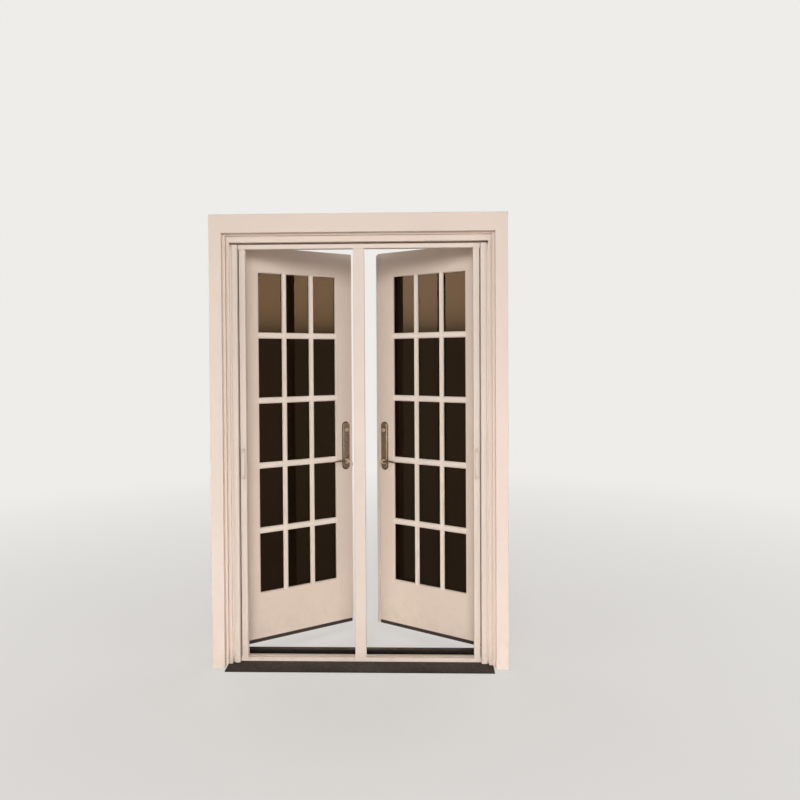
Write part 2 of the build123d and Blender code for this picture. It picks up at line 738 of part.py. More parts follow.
def lever(outside, spindle):
    """A lever handle: a rose on the plate, a neck, and a waved arm lofted through ellipses towards the hinges."""
    y_face = 0.0 if outside else leaf_thickness
    way = -1 if outside else 1
    rose_start = y_face + way * (plate_thickness + turning_gap)
    rose = rod((lock_s, rose_start, spindle_z), rose_r, rose_thickness, (0, way, 0))
    rose = fillet(rose.faces().sort_by(Axis.Y)[0 if outside else -1].edges(), rose_dome)
    handle = rose + rod((lock_s, y_face + way * neck_start, spindle_z), neck_r,
                        lever_reach - neck_start, (0, way, 0))
    arm_y = y_face + way * lever_reach
    sections = []
    for share, rise, out, half_depth, half_height in arm_stations:
        origin = (lock_s - share * lever_length, arm_y + way * out, spindle_z + rise)
        sections.append(Plane(origin=origin, x_dir=(0, 1, 0), z_dir=(-1, 0, 0)) * Ellipse(half_depth, half_height))
    arm = loft(sections)
    knob = Pos(lock_s, arm_y, spindle_z) * Sphere(knob_r)
    share, rise, out, half_depth, half_height = arm_stations[-1]
    tip_center = Pos(lock_s - share * lever_length, arm_y + way * out, spindle_z + rise)
    tip = tip_center * Sphere(max(half_depth, half_height) + tip_fullness)
    handle += [arm, knob, tip]
    end = leaf_thickness + plate_thickness + spindle_end
    if not spindle:
        return handle - square_bar(leaf_thickness - 1.0, end + spindle_end_gap, spindle_play)
    return handle + square_bar(-neck_start, end, 0.0)


def square_bar(start, end, clearance):
    """The square spindle's shape between two depths, or its hole when a clearance is given."""
    half = spindle_side / 2 + clearance
    return slab((lock_s - half, lock_s + half), (start, end), (spindle_z - half, spindle_z + half))


def latch_shape(clearance):
    """The sprung latch bolt with its slanted nose, or its square channel when a clearance is given."""
    tip, tail = leaf_width + latch_throw, leaf_width - latch_tail
    low, high = case_middle - latch_width / 2 - clearance, case_middle + latch_width / 2 + clearance
    outline = [(tail, low), (tip, low), (tip, low + latch_nose), (leaf_width, high), (tail, high)]
    if clearance:
        start = tail - latch_throw - 1.0
        outline = [(start, low), (tip, low), (tip, high), (start, high)]
    half = latch_height / 2 + clearance
    return upright(outline, (latch_z() - half, latch_z() + half))


def latch_z():
    """The middle height of the latch bolt, under the spindle."""
    return spindle_z - latch_height - latch_gap


def deadbolt_z():
    """The middle height of the deadbolt, under the cylinder."""
    return cylinder_z - deadbolt_height


def deadbolt_shape(clearance):
    """The deadbolt drawn back into the case, or its channel when a clearance is given."""
    half_width, half_height = deadbolt_width / 2 + clearance, deadbolt_height / 2 + clearance
    front = leaf_width + 1.0 if clearance else leaf_width - deadbolt_recess
    back = leaf_width - deadbolt_tail - clearance
    return slab((back, front), (case_middle - half_width, case_middle + half_width),
                (deadbolt_z() - half_height, deadbolt_z() + half_height))


def lock_case():
    """The active leaf's mortise lock: a flat case with its faceplate, bored for the spindle and cylinder."""
    edge = leaf_width
    half = case_thickness / 2
    case = slab((edge - case_depth - faceplate_thickness, edge - faceplate_thickness),
                (case_middle - half, case_middle + half), (case_bottom_z, case_top_z))
    case = fillet(case.edges().filter_by(Axis.Y), case_corner_r)
    half = faceplate_width / 2
    face = slab((edge - faceplate_thickness, edge), (case_middle - half, case_middle + half),
                (case_bottom_z - faceplate_margin, case_top_z + faceplate_margin))
    case += fillet(face.edges().filter_by(Axis.X), faceplate_corner_r)
    for z in (case_bottom_z - faceplate_screw_rise, case_top_z + faceplate_screw_rise):
        case -= screw_seat((edge, case_middle, z), (-1, 0, 0), screw_head_r, faceplate_thickness + 1.0)
    return bored_case(case - latch_shape(bolt_clearance) - deadbolt_shape(bolt_clearance))


def gear_case():
    """The passive leaf's bolt gear: a flat case bored for the spindle, slotted for the tangs of both bolts."""
    edge = leaf_width
    half = case_thickness / 2
    case = slab((edge - case_depth - faceplate_thickness, edge - gear_case_setback),
                (case_middle - half, case_middle + half), (gear_case_bottom_z, gear_case_top_z))
    case = fillet(case.edges().filter_by(Axis.Y), case_corner_r)
    for upper in (True, False):
        case -= bolt_tang(upper, bolt_clearance)
    return bored_case(case)


def bored_case(case):
    """A case with the through holes for the square spindle and the cylinder's tail."""
    through = 2 * case_thickness
    case -= rod((lock_s, case_middle - case_thickness, spindle_z), spindle_bore_r, through, (0, 1, 0))
    return case - rod((lock_s, case_middle - case_thickness, cylinder_z), tail_r + fit_gap, through, (0, 1, 0))


def key_cylinder():
    """The key cylinder of the active leaf, with its keyway."""
    start = -plate_thickness - cylinder_stand
    end = case_middle - case_thickness / 2 - fit_gap
    body = rod((lock_s, start, cylinder_z), cylinder_r, end - start, (0, 1, 0))
    body = fillet(body.faces().sort_by(Axis.Y)[0].edges(), cylinder_edge_r)
    keyway = slab((lock_s - keyway_width / 2, lock_s + keyway_width / 2), (start - 1.0, start + keyway_depth),
                  (cylinder_z - keyway_height / 2, cylinder_z + keyway_height / 2))
    return body - keyway


def thumb_turn():
    """The room-side thumb turn that throws the deadbolt, with its tailpiece in the case."""
    face = leaf_thickness + plate_thickness
    rose = rod((lock_s, face + fit_gap, cylinder_z), cylinder_r + turn_rose_reach, turn_rose_thickness, (0, 1, 0))
    stem = rod((lock_s, case_middle, cylinder_z), tail_r, face + turn_stand / 2 - case_middle, (0, 1, 0))
    outline = Plane(origin=(lock_s, face + turn_rose_thickness, cylinder_z), x_dir=(0, 0, 1), z_dir=(0, 1, 0))
    grip = extrude(outline * SlotOverall(turn_length, turn_width), amount=turn_stand)
    grip = fillet(grip.faces().sort_by(Axis.Y)[-1].edges(), turn_edge_r)
    return rose + stem + grip


def astragal():
    """The T-section on the passive leaf: a stem plate on its edge and a lip that laps the active leaf outside."""
    lip_back = -astragal_lip_gap
    lip_z = (cap_height + astragal_sill_gap, head_stop_z - astragal_end_gap)
    lip = slab((leaf_width - astragal_overlap, leaf_width + astragal_overlap), (-astragal_lip, lip_back), lip_z)
    lip = fillet(lip.edges().filter_by(Axis.Z).group_by(Axis.Y)[0], astragal_lip_r)
    plate_x = (leaf_width, leaf_width + astragal_stem)
    stem = slab(plate_x, (0.0, astragal_width), (leaf_bottom_z, leaf_top_z))
    neck = slab(plate_x, (lip_back - 1.0, 1.0), (leaf_bottom_z, lip_z[1]))
    return lip + stem + neck - latch_pocket() - deadbolt_pocket()


def strike_plates():
    """The two strikes on the astragal, each a thin plate round the opening for its bolt."""
    start = leaf_width + astragal_stem
    plates = []
    for z, half, pocket in ((latch_z(), latch_height / 2, latch_pocket()),
                            (deadbolt_z(), deadbolt_height / 2, deadbolt_pocket())):
        plate = slab((start, start + strike_thickness),
                     (case_middle - strike_width / 2, case_middle + strike_width / 2),
                     (z - half - strike_margin, z + half + strike_margin))
        plate = fillet(plate.edges().filter_by(Axis.X), strike_corner_r) - pocket
        for way in (-1, 1):
            seat = (start + strike_thickness, case_middle, z + way * (half + strike_screw_rise))
            plate -= screw_seat(seat, (-1, 0, 0), small_head_r, strike_thickness + 1.0)
        plates.append(plate)
    return plates


def latch_pocket():
    """The strike opening for the active leaf's latch, in the passive leaf's edge."""
    return strike_pocket(latch_z(), latch_width, latch_height, latch_throw + latch_room)


def deadbolt_pocket():
    """The strike opening for the active leaf's deadbolt, in the passive leaf's edge."""
    return strike_pocket(deadbolt_z(), deadbolt_width, deadbolt_height, deadbolt_throw)


def strike_pocket(z, width, height, depth):
    """A square pocket a little larger than the bolt that enters it."""
    half_width, half_height = width / 2 + strike_side_play, height / 2 + strike_end_play
    end = leaf_width + astragal_stem + strike_thickness + 1.0
    return slab((leaf_width - depth, end), (case_middle - half_width, case_middle + half_width),
                (z - half_height, z + half_height))


def shoot_bolt(upper):
    """A shoot bolt drawn back into the leaf: a long rod in the edge channel, with a tang in the gear case."""
    if upper:
        low, high = deadbolt_z() + deadbolt_height / 2 + bolt_tang_height, leaf_top_z - bolt_top_gap
    else:
        low, high = bottom_bolt_tip_z, latch_z() - latch_height / 2 - bolt_case_gap
    bolt = chamfer_tip(rod((shoot_bolt_s, case_middle, low), shoot_bolt_r, high - low), upper)
    return bolt + bolt_tang(upper, 0.0)


def bolt_tang(upper, clearance):
    """The tang that drives a bolt from the gear case, or its slot over the whole throw when a clearance is given."""
    low = deadbolt_z() + deadbolt_height / 2 + bolt_tang_height + bolt_tang_overlap
    if not upper:
        low = latch_z() - latch_height / 2 - bolt_case_gap - bolt_tang_overlap - bolt_tang_height
    high = low + bolt_tang_height
    if clearance:
        low, high = (low, high + shoot_bolt_throw) if upper else (low - shoot_bolt_throw, high)
    half = bolt_tang_thickness / 2 + clearance
    start = leaf_width - gear_case_setback - bolt_tang_reach - clearance
    return slab((start, shoot_bolt_s), (case_middle - half, case_middle + half), (low - clearance, high + clearance))


def chamfer_tip(bolt, upper):
    """A bolt with its leading edge chamfered."""
    ends = bolt.edges().filter_by(GeomType.CIRCLE).sort_by(Axis.Z)
    return chamfer(ends[-1 if upper else 0], bolt_tip_chamfer)


# Insect screens, drawn on the left side of the doorway

def screen_housing():
    """The roller housing: a thin-walled upright box with a slot for the mesh and a fixing flange at the jamb."""
    outer_x, inner_x = -housing_outer_x, -housing_inner_x
    back_y = housing_front_y + housing_depth
    shell = slab((outer_x, inner_x), (housing_front_y, back_y), (housing_bottom_z, housing_top_z))
    shell = fillet(shell.edges().filter_by(Axis.Z), housing_corner_r)
    z_range = (housing_bottom_z - 1.0, housing_top_z + 1.0)
    bore = slab((outer_x + housing_wall, inner_x - housing_wall),
                (housing_front_y + housing_wall, back_y - housing_wall), z_range)
    bore = fillet(bore.edges().filter_by(Axis.Z), housing_corner_r - housing_wall)
    shell -= bore
    flange_y = back_y - flange_setback
    flange = slab((-stop_x, outer_x + housing_wall / 2), (flange_y, flange_y + 2 * housing_wall),
                  (housing_bottom_z, housing_top_z))
    tab = slab((-stop_x, -stop_x + housing_wall), (flange_y - flange_tab, flange_y + housing_wall),
               (housing_bottom_z, housing_top_z))
    slot = slab((inner_x - 2 * housing_wall, inner_x + 1.0),
                (mesh_plane_y - housing_slot / 2, mesh_plane_y + housing_slot / 2), z_range)
    return shell + flange + tab - slot


def housing_cap(upper):
    """An end cap plugged into the housing, bored for the roller's pin."""
    inside = housing_wall + fit_gap
    low = housing_top_z - end_cap if upper else housing_bottom_z
    cap = slab((-housing_outer_x + inside, -housing_inner_x - inside),
               (housing_front_y + inside, housing_front_y + housing_depth - inside), (low, low + end_cap))
    cap = fillet(cap.edges().filter_by(Axis.Z), housing_corner_r - housing_wall)
    return cap - rod((-roller_x, roller_y, low - 1.0), roller_pin_r + pin_running, end_cap + 2.0)


def roller_tube():
    """The roller tube with the pins it turns on."""
    low, high = roller_ends()
    tube = rod((-roller_x, roller_y, low), roller_r, high - low)
    return tube + rod((-roller_x, roller_y, housing_bottom_z + roller_pin_gap), roller_pin_r,
                      housing_top_z - housing_bottom_z - 2 * roller_pin_gap)


def mesh_roll():
    """The insect mesh wound on its roller, as one roll."""
    low, high = roller_ends()
    roll = rod((-roller_x, roller_y, low + roll_end_gap), mesh_roll_r, high - low - 2 * roll_end_gap)
    return roll - rod((-roller_x, roller_y, low), roller_r, high - low)


def roller_ends():
    """The bottom and top of the roller tube, between the housing's end caps."""
    return housing_bottom_z + end_cap + roller_cap_gap, housing_top_z - end_cap - roller_cap_gap


def pull_bar():
    """The screen's leading bar: a hollow section with a mesh groove, a latch groove and a front skirt."""
    x = (-bar_parked_inner_x - pull_bar_width, -bar_parked_inner_x)
    low, high = bar_heights()
    bar = hollow_bar(x, (low, high), (x[0] + mesh_groove, x[1] - latch_groove))
    bar -= slab((x[0] - 1.0, x[0] + mesh_groove),
                (mesh_plane_y - mesh_groove_width / 2, mesh_plane_y + mesh_groove_width / 2), (low, high))
    bar -= slab((x[1] - latch_groove, x[1] + 1.0),
                (mesh_plane_y - latch_groove_width / 2, mesh_plane_y + latch_groove_width / 2), (low, high))
    return bar + skirt((x[0] + skirt_side_gap, x[1] - skirt_side_gap), low)


def bar_heights():
    """The bottom and top of the leading bar, between the tracks."""
    return sill_height + bottom_track_height + running_gap, top_track_bottom_z - running_gap


def hollow_bar(x, z, grooved):
    """A drawn box section with eased front corners, hollow between the grooves in its two edges."""
    y = (screen_front_y, screen_front_y + screen_bar_depth)
    bar = slab(x, y, z)
    bar = fillet(bar.edges().filter_by(Axis.Z).group_by(Axis.Y)[0], section_corner_r)
    bore_x = (grooved[0] + section_wall, grooved[1] - section_wall)
    return bar - slab(bore_x, (y[0] + section_wall, y[1] - section_wall), (z[0] - 1.0, z[1] + 1.0))


def skirt(x, top):
    """The drip skirt that laps the front of the bottom track."""
    return slab(x, (screen_front_y, screen_front_y + skirt_thickness), (skirt_bottom_z, top + skirt_lap))


def bar_shoes():
    """The two guide shoes: a plug in each end of the leading bar, with a runner in the track."""
    x = (-bar_parked_inner_x - pull_bar_width + mesh_groove + section_wall + fit_gap,
         -bar_parked_inner_x - latch_groove - section_wall - fit_gap)
    y = (screen_front_y + section_wall + fit_gap, screen_front_y + screen_bar_depth - section_wall - fit_gap)
    channel = (track_front_y + track_channel_setback + running_gap,
               track_front_y + track_channel_setback + track_channel - running_gap)
    reach = track_channel_depth - shoe_track_gap
    shoes = []
    for end, way in zip(bar_heights(), (-1, 1)):
        plug = slab(x, y, sorted((end, end - way * shoe_plug)))
        shoes.append(plug + slab(x, channel, sorted((end, end + way * reach))))
    return shoes


def pull_grip():
    """The finger grip on the leading bar: a rounded strip hollowed along both sides."""
    middle_x = -bar_parked_inner_x - pull_bar_width / 2
    middle_z = grip_bottom_z + grip_length / 2
    plane = Plane(origin=(middle_x, screen_front_y, middle_z), x_dir=(0, 0, 1), z_dir=(0, -1, 0))
    grip = extrude(plane * SlotOverall(grip_length, grip_width), amount=grip_stand)
    grip = fillet(grip.faces().sort_by(Axis.Y)[0].edges(), grip_edge_r)
    scoop_length = grip_length - 2 * grip_width
    for side in (-1, 1):
        scoop_x = middle_x + side * (grip_width / 2 + grip_scoop_r - grip_scoop_bite)
        grip -= rod((scoop_x, screen_front_y - grip_stand / 2, middle_z - scoop_length / 2),
                    grip_scoop_r, scoop_length)
    return grip


def bottom_track():
    """The low track on the sill between the housings, with its shoe channel and drip edge."""
    front, back = track_front_y, track_front_y + bottom_track_depth
    low, high = sill_height, sill_height + bottom_track_height
    channel = (front + track_channel_setback, front + track_channel_setback + track_channel)
    section = [(front, low), (back, low), (back, high - track_edge), (back - track_edge, high), (channel[1], high),
               (channel[1], high - track_channel_depth), (channel[0], high - track_channel_depth),
               (channel[0], high), (front + track_edge, high), (front, high - track_edge)]
    return level(section, (-track_end_x, track_end_x))


def top_track():
    """The track under the head, hung from a back web, with its shoe channel facing down."""
    front, back = track_front_y, track_front_y + top_track_depth
    low, high = top_track_bottom_z, top_track_bottom_z + top_track_height
    channel = (front + track_channel_setback, front + track_channel_setback + track_channel)
    section = [(front, low + track_edge), (front + track_edge, low), (channel[0], low),
               (channel[0], low + track_channel_depth), (channel[1], low + track_channel_depth), (channel[1], low),
               (back, low), (back, head_stop_z), (back - track_web, head_stop_z), (back - track_web, high),
               (front + track_edge, high), (front, high - track_edge)]
    return level(section, (-track_end_x, track_end_x))


def center_post():
    """The fixed meeting post of the screens: two hollow halves drawn as one, with a seam down the front."""
    half = post_width / 2
    low, high = sill_height + bottom_track_height, top_track_bottom_z
    post = hollow_bar((-half, half), (low, high), (-half + latch_groove, half - latch_groove))
    post += slab((-section_wall, section_wall), (screen_front_y, screen_front_y + screen_bar_depth), (low, high))
    post += skirt((-half + skirt_side_gap, half - skirt_side_gap), low)
    post -= slab((-post_seam / 2, post_seam / 2), (screen_front_y - 1.0, screen_front_y + 1.0),
                 (skirt_bottom_z - 1.0, high + 1.0))
    for side in (-1, 1):
        near, far = sorted((side * (half - latch_groove), side * (half + 1.0)))
        post -= slab((near, far), (mesh_plane_y - latch_groove_width / 2, mesh_plane_y + latch_groove_width / 2),
                     (low, high))
    return post


# Assembly

def set_leaf(solid, right):
    """Moves a piece from the leaf's own plan to the doorway and swings it to the leaf's resting angle."""
    placed = Pos(-hinge_edge_x, leaf_front_y, 0) * solid
    angle = left_rest_angle
    pin = Axis((-pin_x, pin_y, 0), (0, 0, 1))
    if right:
        placed = mirrored(placed)
        angle = -right_rest_angle
        pin = Axis((pin_x, pin_y, 0), (0, 0, 1))
    return placed.rotate(pin, angle)


def leaf_pieces(right):
    """Every piece that swings with one leaf, by node name."""
    pieces = {
        "hinge_stile": hinge_stile(),
        "lock_stile": lock_stile(right),
        "top_rail": rail(glass_high_z, leaf_top_z),
        "bottom_rail": rail(leaf_bottom_z, glass_low_z),
        "glass": glass_panes(),
        "glass_spacer": glass_spacer(),
        "outer_grille": outer_grille(),
        "inner_grille": inner_grille(),
        "door_sweep": door_sweep(right),
        "cover_plates": [cover_plate(True, not right), cover_plate(False, not right)],
        "levers": [lever(True, True), lever(False, False)],
    }
    if right:
        pieces["gear_case"] = gear_case()
        pieces["astragal"] = astragal()
        pieces["strike_plates"] = strike_plates()
        pieces["top_bolt"] = shoot_bolt(True)
        pieces["bottom_bolt"] = shoot_bolt(False)
    else:
        pieces["lock_case"] = lock_case()
        pieces["key_cylinder"] = key_cylinder()
        pieces["thumb_turn"] = thumb_turn()
        pieces["latch_bolt"] = latch_shape(0.0)
        pieces["deadbolt"] = deadbolt_shape(0.0)
    return pieces


def swung_hinge_plates(right):
    """The three leaf-side hinge halves of one leaf, at its resting angle."""
    plates = []
    for z in hinge_heights:
        plate = hinge_plate_with_knuckles(z, True)
        if right:
            plates.append(mirrored(plate).rotate(Axis((pin_x, pin_y, 0), (0, 0, 1)), -right_rest_angle))
        else:
            plates.append(plate.rotate(Axis((-pin_x, pin_y, 0), (0, 0, 1)), left_rest_angle))
    return plates


def build():
    """Every node of the unit, as a name and its solids."""
    nodes = {
        "left_jamb": side_jamb(),
        "right_jamb": mirrored(side_jamb()),
        "head_jamb": head_jamb(),
        "left_casing": side_casing(),
        "right_casing": mirrored(side_casing()),
        "head_casing": head_casing(),
        "sill": sill(),
        "threshold_cap": threshold_cap(),
        "frame_seals": [side_seal(), mirrored(side_seal()), head_seal()],
        "bolt_keepers": [keeper(rabbet_z, False), keeper(floor_keeper_z(), True)],
        "screen_top_track": top_track(),
        "screen_bottom_track": bottom_track(),
        "screen_center_post": center_post(),
    }
    hinges = [hinge_plate_with_knuckles(z, False) for z in hinge_heights]
    hinges += [hinge_pin(z) for z in hinge_heights]
    caps = [housing_cap(True), housing_cap(False)]
    nodes["frame_hinges"] = hinges + [mirrored(piece) for piece in hinges]
    nodes["housing_caps"] = caps + [mirrored(cap) for cap in caps]
    for side in ("left", "right"):
        right = side == "right"
        for name, piece in leaf_pieces(right).items():
            solids = piece if isinstance(piece, list) else [piece]
            nodes[f"{side}_{name}"] = [set_leaf(solid, right) for solid in solids]
        nodes[f"{side}_hinge_plates"] = swung_hinge_plates(right)
        screen = {
            "screen_housing": [screen_housing()],
            "roller_tube": [roller_tube()],
            "mesh_roll": [mesh_roll()],
            "pull_bar": [pull_bar(), pull_grip()],
            "bar_shoes": bar_shoes(),
        }
        for name, solids in screen.items():
            nodes[f"{side}_{name}"] = [mirrored(solid) for solid in solids] if right else solids
    return nodes


def save(name, piece):
    """Writes one node, as a single solid or as a group of separate ones."""
    pieces = piece if isinstance(piece, list) else [piece]
    solids = [solid for item in pieces for solid in item.solids()]
    shape = solids[0] if len(solids) == 1 else Compound(children=solids)
    export_step(shape, os.path.join("parts", name + ".step"))
    return len(solids)


if __name__ == "__main__":
    os.makedirs("parts", exist_ok=True)
    total = 0
    all_nodes = build()
    for node, solids_of_node in all_nodes.items():
        total += save(node, solids_of_node)
    print(len(all_nodes), "nodes,", total, "solids")
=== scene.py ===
"""The looks of two glazed in-swing doors in their frame, with a pull-across insect screen on each side."""

import json
import math

import bpy
import numpy as np
from bpy.props import FloatProperty, FloatVectorProperty, IntProperty, PointerProperty
from mathutils import Matrix, Vector


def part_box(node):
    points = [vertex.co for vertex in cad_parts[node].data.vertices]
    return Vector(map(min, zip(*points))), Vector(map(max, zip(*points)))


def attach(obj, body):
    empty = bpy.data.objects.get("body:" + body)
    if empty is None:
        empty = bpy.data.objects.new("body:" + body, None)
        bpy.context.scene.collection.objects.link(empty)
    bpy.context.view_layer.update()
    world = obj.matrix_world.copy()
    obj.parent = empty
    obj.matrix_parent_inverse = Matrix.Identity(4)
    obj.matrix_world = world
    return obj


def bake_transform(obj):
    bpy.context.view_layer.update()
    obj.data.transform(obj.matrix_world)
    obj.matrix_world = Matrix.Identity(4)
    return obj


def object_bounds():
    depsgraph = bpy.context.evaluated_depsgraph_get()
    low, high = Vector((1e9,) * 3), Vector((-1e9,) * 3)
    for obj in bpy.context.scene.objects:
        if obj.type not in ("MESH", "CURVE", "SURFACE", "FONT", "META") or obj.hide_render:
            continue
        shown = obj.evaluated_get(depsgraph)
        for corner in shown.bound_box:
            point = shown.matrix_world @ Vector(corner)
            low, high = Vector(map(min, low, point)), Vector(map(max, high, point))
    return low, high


bl_info = {
    "name": "Double Doors",
    "version": (1, 0, 0),
    "blender": (4, 5, 0),
    "location": "View3D > Sidebar > Doors",
    "description": "Finishes, fasteners, screen mesh and studio for a pair of glazed doors in their frame",
    "category": "Object",
}

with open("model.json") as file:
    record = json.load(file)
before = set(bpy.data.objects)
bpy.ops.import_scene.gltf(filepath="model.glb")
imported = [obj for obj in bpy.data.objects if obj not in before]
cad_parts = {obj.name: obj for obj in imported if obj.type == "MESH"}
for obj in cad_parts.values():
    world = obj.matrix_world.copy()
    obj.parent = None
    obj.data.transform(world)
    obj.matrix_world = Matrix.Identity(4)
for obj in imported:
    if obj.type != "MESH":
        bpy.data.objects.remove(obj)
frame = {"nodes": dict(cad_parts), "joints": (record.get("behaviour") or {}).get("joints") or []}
cad_low, cad_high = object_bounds()

# The sign of each side along X
SIDES = {"left": -1.0, "right": 1.0}

# Sizes of the joinery that the added pieces sit on, in metres
LEAF_WIDTH = 0.6335
LEAF_THICKNESS = 0.0445
LEAF_FRONT_Y = 0.120
HINGE_EDGE_X = 0.636
RABBET_X = 0.6385
HINGE_HEIGHTS = (0.342, 1.1155, 1.889)
HINGE_HOLES = ((0.040, 0.032), (0.014, 0.018), (-0.014, 0.018), (-0.040, 0.032))
LOCK_S = 0.5935
SPINDLE_Z = 0.935
CYLINDER_Z = 1.107
ROSE_RADIUS = 0.015
CYLINDER_RADIUS = 0.011
PLATE_THICKNESS = 0.008
PLATE_HALF_WIDTH = 0.022
PLATE_CENTER_Z = 1.021
PLATE_SCREW_RISE = 0.112
PLATE_FACE_T = LEAF_THICKNESS + PLATE_THICKNESS
FACEPLATE_SCREWS_Z = (0.866, 1.171)
STRIKE_FACE_S = LEAF_WIDTH + 0.0027
STRIKE_SCREWS_Z = (0.894, 0.928, 1.058, 1.100)
KEEPER_X = 0.0115
KEEPER_Y = 0.14225
KEEPER_SCREW_REACH = 0.021
KEEPER_THICKNESS = 0.002
THRESHOLD_SCREWS_X = (-0.56, -0.34, -0.12, 0.12, 0.34, 0.56)
THRESHOLD_CREST_Z = 0.040
THRESHOLD_CREST_Y = 0.115
TRACK_TOP_Z = 0.030
TRACK_SCREW_Y = 0.060
TRACK_SCREWS_X = (-0.50, -0.25, 0.25, 0.50)
SCREW_SINK = 0.00015
SHANK_RADIUS = 0.00225
HOUSING_OUTER_X = 0.6173
STOP_X = 0.6258
SEALANT_FRONT_Y = 0.0095
SEALANT_BACK_Y = 0.016
SEALANT_END_GAP = 0.001
MESH_Y = 0.038
SCREEN_FRONT_Y = 0.027
GRIP_MIDDLE_Z = 0.984
ROLLER_X = 0.60355
ROLLER_Y = 0.0275
ROLL_RADIUS = 0.0105
HOUSING_SLOT_X = 0.5898
BAR_EDGE_X = 0.5855
MESH_END_X = 0.5805
MESH_LOW_Z = 0.033
MESH_HIGH_Z = 2.030
MESH_THICKNESS = 0.0003
MESH_COLUMNS_X = (ROLLER_X, HOUSING_SLOT_X, 0.5885, 0.5870, BAR_EDGE_X, MESH_END_X)

# The turn from one screw to the next, and the rows of points along a bead of sealant
SCREW_TURN = math.radians(137.5)
SEALANT_ROWS = 41

# The studio: sizes in metres, and the colours of its light
LAMP_COLOR = (1.0, 0.985, 0.965)
ROOM_LIGHT_COLOR = (1.0, 0.985, 0.96)
LAMP_TARGET = (0.0, 0.1, 1.9)
LOW_LAMP_TARGET = (0.2, 0.0, -0.3)
LOW_LAMP_SPREAD = math.radians(50.0)
FLOOR_RADIUS = 16.0
FLOOR_GAP = 0.0005
FLOOR_LIGHT_SHARE = 0.85


# Places on a leaf

def leaf_joint(side):
    """The joint that swings a leaf."""
    for joint in frame["joints"]:
        if joint["name"] == side + "_leaf_swing":
            return joint
    raise RuntimeError(f"the frame has no swing for the {side} leaf")


def leaf_place(side, s, t, z):
    """A point of a leaf's own plan at rest: s from the hinge edge, t from the outer face, z up."""
    pin = Vector(leaf_joint(side)["pos_m"])
    shut = Vector((SIDES[side] * (HINGE_EDGE_X - s), LEAF_FRONT_Y + t, z))
    return leaf_turn(side) @ (shut - pin) + pin


def leaf_turn(side):
    """The rotation of a leaf from shut to rest."""
    joint = leaf_joint(side)
    angle = -math.radians(joint["range_deg"][0]) * joint["axis"][2]
    return Matrix.Rotation(angle, 3, "Z")


def leaf_direction(side, s, t, z):
    """A direction of a leaf's own plan at rest."""
    return leaf_turn(side) @ Vector((-SIDES[side] * s, t, z))


# Meshes

def new_piece(name, body, points, faces, material, smooth=True):
    """One mesh piece at the origin, with its finish and the body that it rides on, if it rides on one."""
    mesh = bpy.data.meshes.new(name)
    mesh.from_pydata(points.tolist(), [], faces)
    mesh.validate()
    mesh.polygons.foreach_set("use_smooth", np.full(len(mesh.polygons), smooth))
    mesh.materials.append(material)
    piece = bpy.data.objects.new(name, mesh)
    bpy.context.scene.collection.objects.link(piece)
    if body is not None:
        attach(piece, body)
    return piece


def grid_faces(rows, columns, closed):
    """Quads of a grid of points, numbered row by row. A closed grid joins its last column to its first."""
    i, j = np.meshgrid(np.arange(rows - 1), np.arange(columns if closed else columns - 1), indexing="ij")
    a = i * columns + j
    b = i * columns + (j + 1) % columns
    return np.stack([a, a + columns, b + columns, b], axis=-1).reshape(-1, 4)


def ring_faces(rings, around):
    """Quads between neighbouring rings, and the fans to both poles, the first and the last point."""
    k = np.arange(around)
    last = 1 + (rings - 1) * around
    top = np.stack([np.zeros(around, int), 1 + k, 1 + (k + 1) % around], axis=-1)
    bottom = np.stack([np.full(around, last + around), last + (k + 1) % around, last + k], axis=-1)
    return 1 + grid_faces(rings, around, closed=True), top, bottom


def screw_surface(radius, seated):
    """A screw head as rings round its axis. Its height is a crown of (1 - share^2), less a recess on four
    arms out to 0.6 of the radius. A seated head goes on down its countersink, on a cone at 45 degrees to
    the shank's radius; a pan head stands on the face, on a wall of 0.3 of its radius."""
    around = 16
    share = np.array([0.22, 0.42, 0.60, 0.74, 0.90, 1.0])
    angle = np.arange(around) * 2 * np.pi / around
    if seated:
        rim, crown = -SCREW_SINK, 0.1 * radius
        cone = radius - SHANK_RADIUS
        skirt_radius = np.array([radius - 0.5 * cone, SHANK_RADIUS])
        skirt_height = np.array([rim - 0.5 * cone, rim - cone])
    else:
        rim, crown = 0.3 * radius, 0.25 * radius
        skirt_radius = np.array([radius, radius])
        skirt_height = np.array([0.15 * radius, 0.0])
    recess = 0.28 * radius
    height = np.repeat((rim + crown * (1 - share ** 2))[:, None], around, axis=1)
    on_arm = (np.arange(around) % 4 == 0)[None, :] & (share[:, None] <= 0.60)
    height = height - recess * on_arm
    ring_radius = np.concatenate([radius * share, skirt_radius])[:, None]
    ring_height = np.concatenate([height, np.repeat(skirt_height[:, None], around, axis=1)])
    rings = np.stack([ring_radius * np.cos(angle), ring_radius * np.sin(angle), ring_height], axis=-1)
    top = np.array([[0.0, 0.0, rim + crown - recess]])
    bottom = np.array([[0.0, 0.0, skirt_height[-1]]])
    points = np.concatenate([top, rings.reshape(-1, 3), bottom])
    quads, top_fan, bottom_fan = ring_faces(len(rings), around)
    return points, quads, np.concatenate([top_fan, bottom_fan])


def frame_at(normal, twist):
    """Three axes as rows: two square to a normal and turned about it by an angle, and the normal itself."""
    n = np.array(normal, float) / np.linalg.norm(normal)
    helper = np.array([0.0, 0.0, 1.0]) if abs(n[2]) < 0.9 else np.array([1.0, 0.0, 0.0])
    u = np.cross(helper, n)
    u /= np.linalg.norm(u)
    v = np.cross(n, u)
    c, s = math.cos(twist), math.sin(twist)
    return np.stack([c * u + s * v, -s * u + c * v, n])


